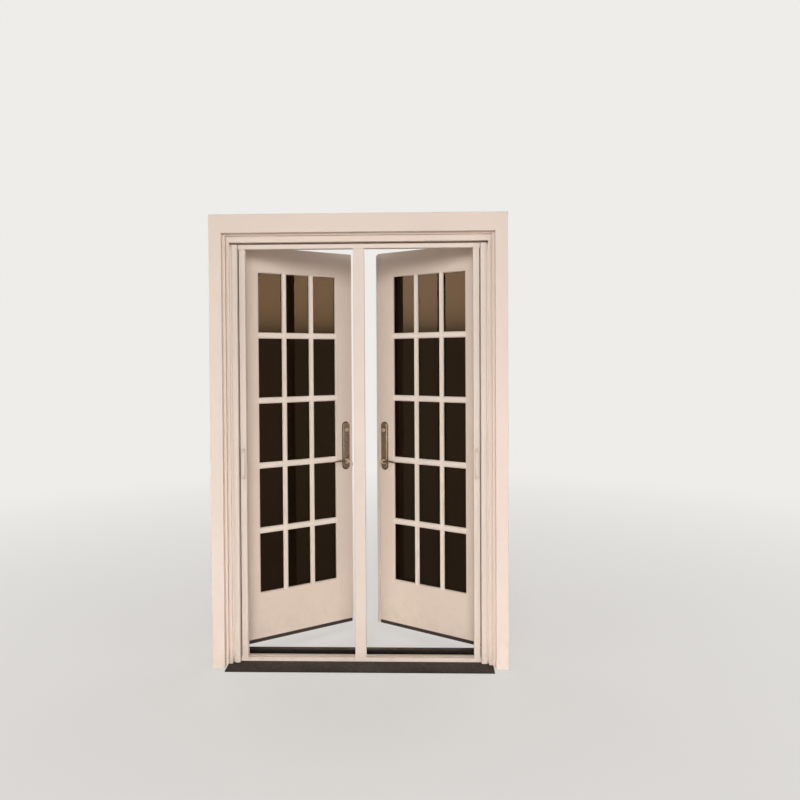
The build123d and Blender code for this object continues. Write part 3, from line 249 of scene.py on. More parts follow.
def screw_set(name, body, places, radius, material, seated=True):
    """One piece with a screw head at each place. Each head is turned on from the last by the golden angle."""
    points, quads, fans = screw_surface(radius, seated)
    heads = [points @ frame_at(normal, i * SCREW_TURN) + np.array(place, float)
             for i, (place, normal) in enumerate(places)]
    first = np.arange(len(heads))[:, None, None] * len(points)
    faces = (quads + first).reshape(-1, 4).tolist() + (fans + first).reshape(-1, 3).tolist()
    return new_piece(name, body, np.concatenate(heads), faces, material, smooth=False)


def bead_surface(x_start, x_end, heights, dip):
    """An upright bead of sealant between two walls. Its face is hollow: y = front + dip * (1 - (2u - 1)^2)
    from wall to wall, with slow waves of a quarter millimetre along its height. Its back is flat, and both
    ends are closed."""
    u = np.linspace(0.0, 1.0, 9)
    arch = 1 - (2 * u - 1) ** 2
    wave = 0.00025 * np.sin(heights * 9.0) * np.sin(heights * 23.0 + 1.0)
    face_y = SEALANT_FRONT_Y + (dip * arch[None, :] + wave[:, None] * arch[None, :])
    face_x = np.broadcast_to(x_start + (x_end - x_start) * u, face_y.shape)
    back_y = np.full((len(heights), 2), SEALANT_BACK_Y)
    back_x = np.broadcast_to(np.array([x_end, x_start]), back_y.shape)
    x = np.concatenate([face_x, back_x], axis=1)
    y = np.concatenate([face_y, back_y], axis=1)
    z = np.broadcast_to(heights[:, None], x.shape)
    rows, around = x.shape
    points = np.stack([x, y, z], axis=-1).reshape(-1, 3)
    sides = grid_faces(rows, around, closed=True)[:, [0, 3, 2, 1]]
    ends = np.stack([np.arange(around)[::-1], np.arange(around) + (rows - 1) * around])
    if x_end < x_start:
        sides = sides[:, ::-1]
        ends = ends[:, ::-1]
    return points, sides.tolist() + ends.tolist()


def sheet_surface(x_columns, z_rows, y, thickness):
    """A flat closed sheet at one y: a front and a back grid of columns and rows, joined round the rim."""
    columns, rows = len(x_columns), len(z_rows)
    x, z = np.meshgrid(x_columns, z_rows, indexing="ij")
    front = np.stack([x, np.full(x.shape, y - thickness / 2), z], axis=-1).reshape(-1, 3)
    back = front + np.array([0.0, thickness, 0.0])
    front_faces = grid_faces(columns, rows, closed=False)
    back_faces = front_faces[:, ::-1] + len(front)
    rim = np.concatenate([np.arange(columns) * rows,
                          (columns - 1) * rows + np.arange(1, rows),
                          np.arange(columns - 2, -1, -1) * rows + rows - 1,
                          np.arange(rows - 2, 0, -1)])
    after = np.roll(rim, -1)
    rim_faces = np.stack([rim, rim + len(front), after + len(front), after], axis=-1)
    return np.concatenate([front, back]), np.concatenate([front_faces, back_faces, rim_faces]).tolist()


# Finishes

class NodePlan:
    """The nodes of one material, lamp or world, and the sums that its patterns are made of."""

    def __init__(self, owner):
        owner.use_nodes = True
        self.nodes = owner.node_tree.nodes
        self.links = owner.node_tree.links

    def feed(self, socket, value):
        """Links a source to a socket, or writes a plain value on it."""
        if isinstance(value, bpy.types.NodeSocket):
            self.links.new(value, socket)
        else:
            socket.default_value = value

    def add(self, kind, **values):
        """A new node, with the inputs of these names fed."""
        node = self.nodes.new(kind)
        for name, value in values.items():
            self.feed(node.inputs[name.replace("_", " ")], value)
        return node

    def math(self, operation, *values):
        """One sum on sources or plain numbers."""
        node = self.add("ShaderNodeMath")
        node.operation = operation
        for socket, value in zip(node.inputs, values):
            self.feed(socket, value)
        return node.outputs["Value"]

    def product(self, first, *others):
        """Several values multiplied together."""
        for value in others:
            first = self.math("MULTIPLY", first, value)
        return first

    def remap(self, source, low, high, to_low=0.0, to_high=1.0):
        """A value moved from one range to another and held inside it."""
        node = self.add("ShaderNodeMapRange", Value=source, From_Min=low, From_Max=high,
                        To_Min=to_low, To_Max=to_high)
        return node.outputs["Result"]

    def seen_directly(self):
        """1 for camera, glossy and transmission rays, 0 for the rays that carry light."""
        rays = self.add("ShaderNodeLightPath").outputs
        seen = self.math("MAXIMUM", rays["Is Camera Ray"], rays["Is Glossy Ray"])
        return self.math("MAXIMUM", seen, rays["Is Transmission Ray"])

    def show(self, factor, first, second, output):
        """Two shader nodes mixed by a factor, as the surface that an output node shows."""
        mix = self.add("ShaderNodeMixShader", Fac=factor)
        self.links.new(first.outputs[0], mix.inputs[1])
        self.links.new(second.outputs[0], mix.inputs[2])
        self.links.new(mix.outputs["Shader"], output.inputs["Surface"])


class Finish(NodePlan):
    """One material: a principled shader, and the patterns on object coordinates that drive it."""

    def __init__(self, name):
        self.material = bpy.data.materials.new(name)
        super().__init__(self.material)
        self.nodes.clear()
        self.output = self.add("ShaderNodeOutputMaterial")
        self.shader = self.add("ShaderNodeBsdfPrincipled")
        self.links.new(self.shader.outputs["BSDF"], self.output.inputs["Surface"])
        self.coordinates = self.add("ShaderNodeTexCoord").outputs
        self.plain = self.coordinates["Object"]

    def set(self, **values):
        """Writes plain values on the shader's own sockets."""
        for name, value in values.items():
            self.shader.inputs[name.replace("_", " ")].default_value = value

    def drive(self, socket, source):
        """Lets a pattern drive one of the shader's sockets."""
        self.links.new(source, self.shader.inputs[socket])

    def spread(self, scale, turn=0.0):
        """Object coordinates, stretched by a scale per axis after a turn about Z."""
        node = self.add("ShaderNodeMapping", Vector=self.plain, Rotation=(0.0, 0.0, turn), Scale=scale)
        node.vector_type = "POINT"
        return node.outputs["Vector"]

    def leaf_plan(self, side):
        """Object coordinates turned back to the leaf's shut place, as three separate values."""
        pin = Vector(leaf_joint(side)["pos_m"])
        back = leaf_turn(side).inverted()
        node = self.add("ShaderNodeMapping", Vector=self.plain, Rotation=back.to_euler(),
                        Location=pin - back @ pin)
        return self.add("ShaderNodeSeparateXYZ", Vector=node.outputs["Vector"]).outputs

    def noise(self, vector, scale, detail=3.0, roughness=0.5):
        """Cloudy noise from 0 to 1."""
        node = self.add("ShaderNodeTexNoise", Vector=vector, Scale=scale, Detail=detail, Roughness=roughness)
        return node.outputs["Fac"]

    def cells(self, vector, scale):
        """Distance to the nearest of many scattered points."""
        return self.add("ShaderNodeTexVoronoi", Vector=vector, Scale=scale).outputs["Distance"]

    def blend(self, factor, low, high):
        """Two colours mixed by a pattern. Each colour is plain or comes from another blend."""
        node = self.nodes.new("ShaderNodeMix")
        node.data_type = "RGBA"
        self.links.new(factor, node.inputs["Factor"])
        for socket, colour in ((node.inputs[6], low), (node.inputs[7], high)):
            self.feed(socket, colour if isinstance(colour, bpy.types.NodeSocket) else (*colour, 1.0))
        return node.outputs[2]

    def blend_values(self, factor, low, high):
        """Two values mixed by a pattern."""
        node = self.add("ShaderNodeMix", Factor=factor)
        self.links.new(low, node.inputs[2])
        self.links.new(high, node.inputs[3])
        return node.outputs[0]

    def axis(self, index, normal=False):
        """One object coordinate, or one part of the surface's normal."""
        source = self.coordinates["Normal"] if normal else self.plain
        return self.add("ShaderNodeSeparateXYZ", Vector=source).outputs[index]

    def bump(self, height, distance, strength=1.0, under=None):
        """Raises the surface by a pattern, on top of an earlier bump if one is given."""
        node = self.add("ShaderNodeBump", Height=height, Distance=distance, Strength=strength)
        if under is not None:
            self.links.new(under, node.inputs["Normal"])
        return node.outputs["Normal"]

    def dust(self, settings, height, cloud, start):
        """Dust in patches where a cloud is dense, thickest at the foot and gone above a height."""
        low_down = self.remap(self.axis(2), 0.0, height, 1.0, 0.0)
        return self.product(low_down, self.remap(cloud, start, 0.75), settings.dust_amount)


def shaded(colour, factor):
    """A colour made darker or lighter by a factor."""
    return tuple(min(1.0, c * factor) for c in colour)


def brushed_paint(name, colour, settings, along, turn=0.0):
    """Brushed satin paint: soft tone clouds, brush marks along the board, fine texture, and dust low down."""
    finish = Finish(name)
    stretch = {"Z": (60.0, 60.0, 1.6), "X": (1.6, 60.0, 60.0)}[along]
    clouds = finish.noise(finish.plain, 2.2, 4.0)
    strokes = finish.noise(finish.spread(stretch, turn), 9.0, 4.0, 0.6)
    fine = finish.noise(finish.plain, 420.0, 2.0)
    tone = finish.math("ADD", finish.product(clouds, 0.6), finish.product(strokes, 0.4))
    paint = finish.blend(finish.remap(tone, 0.32, 0.68),
                         shaded(colour, 1.0 - settings.tone_range),
                         shaded(colour, 1.0 + settings.tone_range * 0.5))
    dust = finish.dust(settings, settings.dust_height, finish.noise(finish.plain, 14.0, 5.0, 0.65), 0.42)
    finish.drive("Base Color", finish.blend(dust, paint, settings.dust_color))
    gloss = finish.remap(finish.math("ADD", strokes, finish.product(dust, 0.6)), 0.3, 0.8,
                         settings.roughness - 0.06, settings.roughness + 0.1)
    finish.drive("Roughness", gloss)
    marks = finish.bump(strokes, 0.00022, 0.6)
    finish.drive("Normal", finish.bump(fine, 0.00008, 0.5, marks))
    finish.set(Specular_IOR_Level=0.42)
    return finish.material


def powder_coat(name, colour, settings, painted_grip_shade=False):
    """Powder-coated aluminium: even tone, a fine orange-peel surface and a little dust low down. On the pull
    bars, painted shade darkens the grip's face a little, and much more toward and past both of its ends."""
    finish = Finish(name)
    clouds = finish.noise(finish.plain, 3.0, 3.0)
    peel = finish.noise(finish.plain, 260.0, 2.0, 0.4)
    paint = finish.blend(finish.remap(clouds, 0.35, 0.65),
                         shaded(colour, 1.0 - settings.tone_range * 0.6),
                         shaded(colour, 1.0 + settings.tone_range * 0.3))
    dust = finish.dust(settings, settings.dust_height * 0.8, finish.noise(finish.plain, 22.0, 4.0, 0.6), 0.45)
    if painted_grip_shade:
        # Painted shade on the grip: slight over its face, strong toward both ends.
        proud = finish.remap(finish.axis(1), SCREEN_FRONT_Y - 0.002, SCREEN_FRONT_Y - 0.0005, 1.0, 0.0)
        from_middle = finish.math("ABSOLUTE", finish.math("SUBTRACT", finish.axis(2), GRIP_MIDDLE_Z))
        marks = finish.product(proud, finish.remap(from_middle, 0.045, 0.066, 0.12, 0.5))
        # From here on, dust also carries the grip's painted shade.
        dust = finish.math("MAXIMUM", dust, marks)
    finish.drive("Base Color", finish.blend(dust, paint, settings.dust_color))
    finish.drive("Roughness", finish.remap(peel, 0.3, 0.7, settings.roughness - 0.1, settings.roughness))
    finish.drive("Normal", finish.bump(peel, 0.00006, 0.6))
    finish.set(Specular_IOR_Level=0.5, Coat_Weight=0.12, Coat_Roughness=0.25)
    return finish.material


def dark_bronze(name, settings):
    """Dark bronze anodised aluminium: lines drawn along X, worn paler underfoot, dust on level faces."""
    finish = Finish(name)
    drawn = finish.noise(finish.spread((2.0, 160.0, 160.0)), 6.0, 3.0)
    wear = finish.remap(finish.noise(finish.plain, 7.0, 5.0, 0.7), 0.52, 0.78)
    upward = finish.remap(finish.axis(2, normal=True), 0.3, 0.95)
    grit = finish.remap(finish.noise(finish.plain, 60.0, 5.0, 0.7), 0.42, 0.8)
    metal = finish.blend(finish.product(wear, upward), settings.sill_color, shaded(settings.sill_color, 1.7))
    dusty = finish.product(upward, grit, 0.16)
    finish.drive("Base Color", finish.blend(dusty, metal, (0.20, 0.15, 0.11)))
    finish.drive("Metallic", finish.remap(dusty, 0.0, 0.16, 0.75, 0.45))
    finish.drive("Roughness", finish.remap(drawn, 0.3, 0.7, 0.36, 0.5))
    finish.drive("Normal", finish.bump(drawn, 0.00005, 0.5))
    return finish.material


def aged_nickel_painted_light(name, settings, side):
    """Aged nickel with painted light: the sides of the plates darker toward their foot, partly patina and
    partly painted shade; a painted dark reflection on each plate's side toward the meeting edge; a painted
    shadow round the cylinder and the lever's rose; painted shade along the lever arms; and what stands proud
    by the cylinder and the rose rubbed bright, with a painted highlight on it. Cloudy patina patches and fine
    rubbing marks over all."""
    finish = Finish(name)
    patina = finish.remap(finish.noise(finish.plain, 38.0, 4.0, 0.62), 0.36, 0.68)
    rubbed = finish.noise(finish.spread((240.0, 240.0, 24.0)), 4.0, 3.0)
    x, y, z = finish.leaf_plan(side)
    from_middle = finish.math("ABSOLUTE", finish.math("SUBTRACT", y, LEAF_FRONT_Y + LEAF_THICKNESS / 2))
    height = finish.math("SUBTRACT", from_middle, LEAF_THICKNESS / 2)
    # Darker down the plates' sides toward their foot: partly patina in the corner, partly painted shade.
    rim = finish.remap(height, 0.0045, PLATE_THICKNESS - 0.0001)
    proud = finish.remap(height, PLATE_THICKNESS + 0.0005, PLATE_THICKNESS + 0.004)
    # Painted dark reflection: each plate's outermost few millimetres on the meeting-edge side are darkened.
    across = finish.math("SUBTRACT", x, SIDES[side] * (HINGE_EDGE_X - LOCK_S))
    toward_edge = finish.product(across, -SIDES[side])
    meeting_edge_painted_reflection = finish.remap(toward_edge, PLATE_HALF_WIDTH - 0.008, PLATE_HALF_WIDTH - 0.004, 1.0, 0.12)
    # Painted shadow: a dark ring on the plate round the cylinder and the lever's rose, fading out over 6 mm;
    # near marks the bosses themselves.
    dark, close = [], []
    for centre, radius in ((CYLINDER_Z, CYLINDER_RADIUS), (SPINDLE_Z, ROSE_RADIUS)):
        up = finish.math("SUBTRACT", z, centre)
        squares = finish.math("ADD", finish.product(across, across), finish.product(up, up))
        away = finish.math("SQRT", squares)
        dark.append(finish.remap(away, radius, radius + 0.006, 1.0, 0.0))
        close.append(finish.remap(away, radius + 0.001, radius + 0.004, 1.0, 0.0))
    ring = finish.math("MAXIMUM", *dark)
    near = finish.math("MAXIMUM", *close)
    off_ring = finish.math("SUBTRACT", 1.0, finish.product(ring, 0.75))
    # The plate's field: patina and painted shade at the foot, the painted shadow rings and the painted dark
    # reflection, multiplied together.
    field_patina_and_shade = finish.product(rim, off_ring, meeting_edge_painted_reflection)
    # Painted shade on the lever arms: proud parts away from the cylinder and the rose are darker.
    proud_painted_shade = finish.remap(near, 0.0, 1.0, 0.55, 1.0)
    shade = finish.blend_values(proud, field_patina_and_shade, proud_painted_shade)
    metal = finish.blend(patina, settings.handle_color, shaded(settings.handle_color, 0.66))
    # Rubbed bright, with a painted highlight: proud parts by the cylinder and the rose are much lighter.
    worn = finish.blend(finish.product(proud, near), metal, shaded(settings.handle_color, 2.1))
    finish.drive("Base Color", finish.blend(shade, shaded(settings.handle_color, 0.16), worn))
    finish.drive("Roughness", finish.remap(finish.math("ADD", rubbed, patina), 0.5, 1.5, 0.24, 0.42))
    finish.drive("Normal", finish.bump(rubbed, 0.00003, 0.4))
    finish.set(Metallic=1.0)
    return finish.material


def plated_steel(name, settings):
    """Satin plated steel: brushed along Z, with faint dull patches."""
    finish = Finish(name)
    brushed = finish.noise(finish.spread((420.0, 420.0, 9.0)), 3.0, 3.0)
    dull = finish.remap(finish.noise(finish.plain, 26.0, 4.0), 0.42, 0.7)
    finish.drive("Base Color", finish.blend(dull, settings.steel_color, shaded(settings.steel_color, 0.78)))
    finish.drive("Roughness", finish.remap(finish.math("ADD", brushed, dull), 0.4, 1.5, 0.24, 0.44))
    finish.drive("Normal", finish.bump(brushed, 0.00003, 0.5))
    finish.set(Metallic=1.0)
    return finish.material


def mill_aluminium(name):
    """Mill aluminium: pale, with drawn lines along its length."""
    finish = Finish(name)
    drawn = finish.noise(finish.spread((300.0, 300.0, 6.0)), 4.0, 3.0)
    finish.drive("Base Color", finish.blend(drawn, (0.50, 0.50, 0.51), (0.64, 0.64, 0.65)))
    finish.drive("Roughness", finish.remap(drawn, 0.3, 0.7, 0.3, 0.45))
    finish.set(Metallic=1.0)
    return finish.material


def seal_rubber(name, settings):
    """Matt extruded rubber: fine grain, with a paler bloom in patches."""
    finish = Finish(name)
    bloom = finish.remap(finish.noise(finish.plain, 18.0, 4.0, 0.6), 0.48, 0.8, 0.0, 0.5)
    grain = finish.noise(finish.plain, 900.0, 2.0)
    finish.drive("Base Color", finish.blend(bloom, settings.rubber_color, shaded(settings.rubber_color, 2.0)))
    finish.drive("Roughness", finish.remap(grain, 0.3, 0.7, 0.62, 0.78))
    finish.drive("Normal", finish.bump(grain, 0.00006, 0.6))
    return finish.material


def moulded_plastic(name, settings):
    """Moulded plastic: a fine spark-eroded texture and soft flow marks."""
    finish = Finish(name)
    texture = finish.cells(finish.plain, 1500.0)
    flow = finish.noise(finish.plain, 40.0, 2.0)
    pale = settings.plastic_color
    finish.drive("Base Color", finish.blend(flow, shaded(pale, 0.94), pale))
    finish.drive("Roughness", finish.remap(flow, 0.3, 0.7, 0.42, 0.52))
    finish.drive("Normal", finish.bump(texture, 0.00003, 0.5))
    return finish.material


def glass_painted_dark(name, settings):
    """Coated double glazing: clear glass with a warm dark tint, painted shade that darkens all seen through
    it, and a slight roll wave in its surface.
    """
    finish = Finish(name)
    wave = finish.noise(finish.spread((1.0, 1.0, 0.35)), 3.0, 1.0)
    smears = finish.noise(finish.plain, 11.0, 5.0, 0.7)
    finish.drive("Roughness", finish.remap(smears, 0.5, 0.85, 0.0, 0.05))
    finish.drive("Normal", finish.bump(wave, 0.0006, 0.35))
    # The transmission colour is painted shade: a dark warm tint in place of a dark room behind the glass.
    finish.set(Base_Color=(*settings.painted_dark_tint, 1.0), Transmission_Weight=1.0, IOR=1.45,
               Specular_Tint=(*settings.shine_tint, 1.0))
    return finish.material


def woven_mesh(name, settings, center_x=None):
    """Insect mesh: threads in two directions on a square pitch, open between them, with painted shade making
    the hollows between the threads darker. On the roll, the upright threads follow the angle round the roller
    and nothing is open."""
    finish = Finish(name)
    pitch = settings.thread_pitch
    along = finish.axis(0)
    if center_x is not None:
        across_x = finish.math("SUBTRACT", along, center_x)
        across_y = finish.math("SUBTRACT", finish.axis(1), ROLLER_Y)
        along = finish.product(finish.math("ARCTAN2", across_y, across_x), ROLL_RADIUS)
    threads = []
    for place in (along, finish.axis(2)):
        turn = finish.product(place, 2 * math.pi / pitch)
        threads.append(finish.math("COSINE", turn))
    height = finish.math("MAXIMUM", *threads)
    # Painted shade in the weave: the base colour darkens toward the hollows between the threads.
    finish.drive("Base Color", finish.blend(finish.remap(height, -1.0, 1.0),
                                            shaded(settings.mesh_color, 0.45), settings.mesh_color))
    finish.drive("Normal", finish.bump(height, 0.0001, 0.8))
    finish.set(Roughness=0.6)
    if center_x is None:
        edge = math.cos(math.pi * settings.thread_width / pitch)
        finish.drive("Alpha", finish.math("GREATER_THAN", height, edge))
    return finish.material


def give_finish(material, *nodes):
    """Puts one material in every slot of these nodes' objects."""
    for name in nodes:
        for place in frame["nodes"][name].material_slots:
            place.material = material


# Settings

class DoorPaint(bpy.types.PropertyGroup):
    """Paint on the frame, the leaves and the screens."""

    frame_color: FloatVectorProperty(
        name="Frame colour", description="Paint on casing, jambs and head",
        subtype="COLOR", size=3, min=0.0, max=1.0, default=(0.807, 0.680, 0.596))
    # A little darker and warmer than the frame's paint; part of that is painted shade.
    leaf_color_with_shade: FloatVectorProperty(
        name="Leaf colour", description="Paint on stiles, rails and bars",
        subtype="COLOR", size=3, min=0.0, max=1.0, default=(0.800, 0.661, 0.561))
    bar_color: FloatVectorProperty(
        name="Bar colour", description="Coating on the bars that divide the glass",
        subtype="COLOR", size=3, min=0.0, max=1.0, default=(0.865, 0.750, 0.650))
    screen_color: FloatVectorProperty(
        name="Screen colour", description="Coating on housings, bars and tracks",
        subtype="COLOR", size=3, min=0.0, max=1.0, default=(0.732, 0.616, 0.538))
    roughness: FloatProperty(
        name="Roughness", description="How matt the paint is", min=0.2, max=0.9, default=0.46)
    tone_range: FloatProperty(
        name="Tone range", description="How much the paint's tone varies",
        min=0.0, max=0.3, default=0.05)
    dust_height: FloatProperty(
        name="Dust height", description="Height up to which dust has settled",
        unit="LENGTH", min=0.01, max=1.0, default=0.30)
    dust_amount: FloatProperty(
        name="Dust amount", description="How strong the dust is", min=0.0, max=1.0, default=0.35)
    dust_color: FloatVectorProperty(
        name="Dust colour", description="Colour of the settled dust",
        subtype="COLOR", size=3, min=0.0, max=1.0, default=(0.48, 0.36, 0.26))


class DoorMetal(bpy.types.PropertyGroup):
    """Metal, rubber and plastic parts."""

    sill_color: FloatVectorProperty(
        name="Sill colour", description="Anodised sill and threshold",
        subtype="COLOR", size=3, min=0.0, max=1.0, default=(0.021, 0.015, 0.0115))
    handle_color: FloatVectorProperty(
        name="Handle colour", description="Plates, levers and key cylinder",
        subtype="COLOR", size=3, min=0.0, max=1.0, default=(0.32, 0.24, 0.165))
    steel_color: FloatVectorProperty(
        name="Steel colour", description="Hinges, lock case, bolts and strikes",
        subtype="COLOR", size=3, min=0.0, max=1.0, default=(0.52, 0.50, 0.47))
    rubber_color: FloatVectorProperty(
        name="Rubber colour", description="Seals and sweeps",
        subtype="COLOR", size=3, min=0.0, max=1.0, default=(0.027, 0.015, 0.011))
    plastic_color: FloatVectorProperty(
        name="Plastic colour", description="End caps and guide shoes",
        subtype="COLOR", size=3, min=0.0, max=1.0, default=(0.70, 0.63, 0.55))


class DoorGlass(bpy.types.PropertyGroup):
    """Sealed glazing."""

    # Painted shade: a dark warm tint that darkens all seen through the glass, in place of a dark room behind
    # it.
    painted_dark_tint: FloatVectorProperty(
        name="Tint", description="Light that one pane lets through",
        subtype="COLOR", size=3, min=0.0, max=1.0, default=(0.08, 0.06, 0.045))
    shine_tint: FloatVectorProperty(
        name="Shine", description="Colour and strength of the coating's reflection",
        subtype="COLOR", size=3, min=0.0, max=1.0, default=(0.50, 0.31, 0.16))


class DoorFasteners(bpy.types.PropertyGroup):
    """Screw heads and sealant."""

    hinge_screw: FloatProperty(
        name="Hinge screw", description="Head radius of the hinge screws",
        unit="LENGTH", min=0.0024, max=0.0041, default=0.00405)
    plate_screw: FloatProperty(
        name="Plate screw", description="Head radius of the lock, plate and keeper screws",
        unit="LENGTH", min=0.0024, max=0.0041, default=0.00405)
    strike_screw: FloatProperty(
        name="Strike screw", description="Head radius of the strikes' screws",
        unit="LENGTH", min=0.0024, max=0.0032, default=0.0032)
    sealant_dip: FloatProperty(
        name="Sealant hollow", description="How hollow the beads of sealant are",
        unit="LENGTH", min=0.0, max=0.004, default=0.0022)
    sill_screw: FloatProperty(
        name="Sill screw", description="Head radius of the threshold and track screws",
        unit="LENGTH", min=0.0024, max=0.0041, default=0.00405)


class ScreenMesh(bpy.types.PropertyGroup):
    """Insect mesh."""

    mesh_color: FloatVectorProperty(
        name="Mesh colour", description="Coated glass-fibre thread",
        subtype="COLOR", size=3, min=0.0, max=1.0, default=(0.035, 0.034, 0.034))
    thread_pitch: FloatProperty(
        name="Thread pitch", description="Distance from thread to thread",
        unit="LENGTH", min=0.0008, max=0.004, default=0.0016)
    thread_width: FloatProperty(
        name="Thread width", description="Width of one thread",
        unit="LENGTH", min=0.0001, max=0.001, default=0.0004)
    rows: IntProperty(
        name="Rows", description="Grid rows of the stretched mesh", min=2, max=200, default=40)


class DoorStudio(bpy.types.PropertyGroup):
    """Camera, floor and lamps."""

    camera_place: FloatVectorProperty(
        name="Camera place", description="Where the camera stands",
        subtype="TRANSLATION", size=3, default=(0.2937, -3.3894, 1.4960))
    camera_yaw: FloatProperty(
        name="Yaw", description="Turn of the camera to the left",
        subtype="ANGLE", default=math.radians(1.54))
    camera_pitch: FloatProperty(
        name="Pitch", description="How far the camera looks down",
        subtype="ANGLE", default=math.radians(1.03))
    camera_roll: FloatProperty(
        name="Roll", description="Tilt of the camera about its own axis",
        subtype="ANGLE", default=math.radians(-0.30))
    focal_length: FloatProperty(
        name="Focal length", description="Focal length in millimetres on a 36 mm sensor",
        min=10.0, max=200.0, default=31.63)
    shift_x: FloatProperty(
        name="Shift across", description="Sideways shift of the lens",
        min=-0.5, max=0.5, default=-0.000625)
    shift_y: FloatProperty(
        name="Shift up", description="Upward shift of the lens", min=-0.5, max=0.5, default=-0.0359)
    side_power: FloatProperty(
        name="Side lamps", description="Power of each high lamp beside the camera",
        unit="POWER", min=0.0, max=5000.0, default=525.0)
    front_power: FloatProperty(
        name="Front lamp", description="Power of the high, distant lamp in front",
        unit="POWER", min=0.0, max=5000.0, default=890.0)
    low_power: FloatProperty(
        name="Low lamp", description="Power of the lamp that lights the foot of the doors",
        unit="POWER", min=0.0, max=5000.0, default=23.0)
    back_power: FloatProperty(
        name="Back lamps", description="Power of each lamp behind the doors",
        unit="POWER", min=0.0, max=5000.0, default=560.0)
    room_light: FloatProperty(
        name="Room light", description="Even light from all round", min=0.0, max=2.0, default=0.10)
    floor_light: FloatProperty(
        name="Floor light", description="Share of the backdrop's colour in the near floor",
        min=0.0, max=1.0, default=0.55)
    floor_color: FloatVectorProperty(
        name="Floor colour", description="Plain pale floor",
        subtype="COLOR", size=3, min=0.0, max=1.0, default=(0.78, 0.76, 0.73))
    backdrop_color: FloatVectorProperty(
        name="Backdrop colour", description="What the camera sees behind the doors",
        subtype="COLOR", size=3, min=0.0, max=1.0, default=(0.86, 0.845, 0.82))


# Operators

class PaintFrame(bpy.types.Operator):
    """Paint the casing, jambs and head"""

    bl_idname = "doors.paint_frame"
    bl_label = "Paint Frame"

    def execute(self, context):
        paint = context.scene.door_paint
        upright = brushed_paint("frame_paint_upright", paint.frame_color, paint, "Z")
        level = brushed_paint("frame_paint_level", paint.frame_color, paint, "X")
        give_finish(upright, "left_jamb", "right_jamb", "left_casing", "right_casing")
        give_finish(level, "head_jamb", "head_casing")
        return {"FINISHED"}


class PaintLeaves(bpy.types.Operator):
    """Paint the stiles, rails and bars of both leaves"""

    bl_idname = "doors.paint_leaves"
    bl_label = "Paint Leaves"

    def execute(self, context):
        paint = context.scene.door_paint
        upright = brushed_paint("leaf_paint_upright", paint.leaf_color_with_shade, paint, "Z")
        bars = powder_coat("bar_coat", paint.bar_color, paint)
        for side in SIDES:
            angle = leaf_turn(side).to_euler().z
            level = brushed_paint(side + "_leaf_paint_level", paint.leaf_color_with_shade, paint, "X", -angle)
            give_finish(upright, side + "_hinge_stile", side + "_lock_stile")
            give_finish(bars, side + "_outer_grille", side + "_inner_grille")
            give_finish(level, side + "_top_rail", side + "_bottom_rail")
        return {"FINISHED"}


class FinishGlass(bpy.types.Operator):
    """Glaze both leaves"""

    bl_idname = "doors.finish_glass"
    bl_label = "Finish Glass"

    def execute(self, context):
        give_finish(glass_painted_dark("glass_painted_dark", context.scene.door_glass), "left_glass", "right_glass")
        give_finish(mill_aluminium("mill_aluminium"), "left_glass_spacer", "right_glass_spacer",
                    "left_roller_tube", "right_roller_tube")
        return {"FINISHED"}


class FinishSill(bpy.types.Operator):
    """Finish the sill, threshold, seals and sweeps"""

    bl_idname = "doors.finish_sill"
    bl_label = "Finish Sill"

    def execute(self, context):
        metal = context.scene.door_metal
        give_finish(dark_bronze("dark_bronze", metal), "sill", "threshold_cap")
        give_finish(seal_rubber("seal_rubber", metal), "frame_seals", "left_door_sweep", "right_door_sweep")
        return {"FINISHED"}


class FinishHardware(bpy.types.Operator):
    """Finish the handles, locks, bolts and hinges"""

    bl_idname = "doors.finish_hardware"
    bl_label = "Finish Hardware"

    def execute(self, context):
        metal = context.scene.door_metal
        give_finish(aged_nickel_painted_light("left_aged_nickel_painted_light", metal, "left"),
                    "left_cover_plates", "left_levers", "left_key_cylinder", "left_thumb_turn")
        give_finish(aged_nickel_painted_light("right_aged_nickel_painted_light", metal, "right"), "right_cover_plates", "right_levers")
        give_finish(plated_steel("plated_steel", metal),
                    "frame_hinges", "left_hinge_plates", "right_hinge_plates", "left_lock_case",
                    "left_latch_bolt", "left_deadbolt", "right_gear_case", "right_strike_plates",
                    "right_top_bolt", "right_bottom_bolt", "bolt_keepers")
        return {"FINISHED"}


class FinishScreens(bpy.types.Operator):
    """Finish the screens' housings, bars, tracks, guides and rolls"""

    bl_idname = "doors.finish_screens"
    bl_label = "Finish Screens"

    def execute(self, context):
        scene = context.scene
        paint = scene.door_paint
        give_finish(powder_coat("powder_coat", paint.screen_color, paint),
                    "left_screen_housing", "right_screen_housing", "screen_center_post", "screen_top_track",
                    "screen_bottom_track", "right_astragal")
        give_finish(powder_coat("pull_bar_coat_painted_shade", paint.screen_color, paint, painted_grip_shade=True),
                    "left_pull_bar", "right_pull_bar")
        give_finish(moulded_plastic("moulded_plastic", scene.door_metal),
                    "housing_caps", "left_bar_shoes", "right_bar_shoes")
        for side, sign in SIDES.items():
            rolled = woven_mesh(side + "_rolled_mesh", scene.screen_mesh, sign * ROLLER_X)
            give_finish(rolled, side + "_mesh_roll")
        return {"FINISHED"}


class AddSealant(bpy.types.Operator):
    """Add the beads of sealant between the jambs and the screen housings"""

    bl_idname = "doors.sealant"
    bl_label = "Add Sealant"

    def execute(self, context):
        low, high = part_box("left_screen_housing")
        heights = np.linspace(low.z + SEALANT_END_GAP, high.z - SEALANT_END_GAP, SEALANT_ROWS)
        material = bpy.data.materials["frame_paint_upright"]
        dip = context.scene.door_fasteners.sealant_dip
        for side, sign in SIDES.items():
            points, faces = bead_surface(sign * HOUSING_OUTER_X, sign * STOP_X, heights, dip)
            new_piece(side + "_sealant", "frame", points, faces, material)
        return {"FINISHED"}


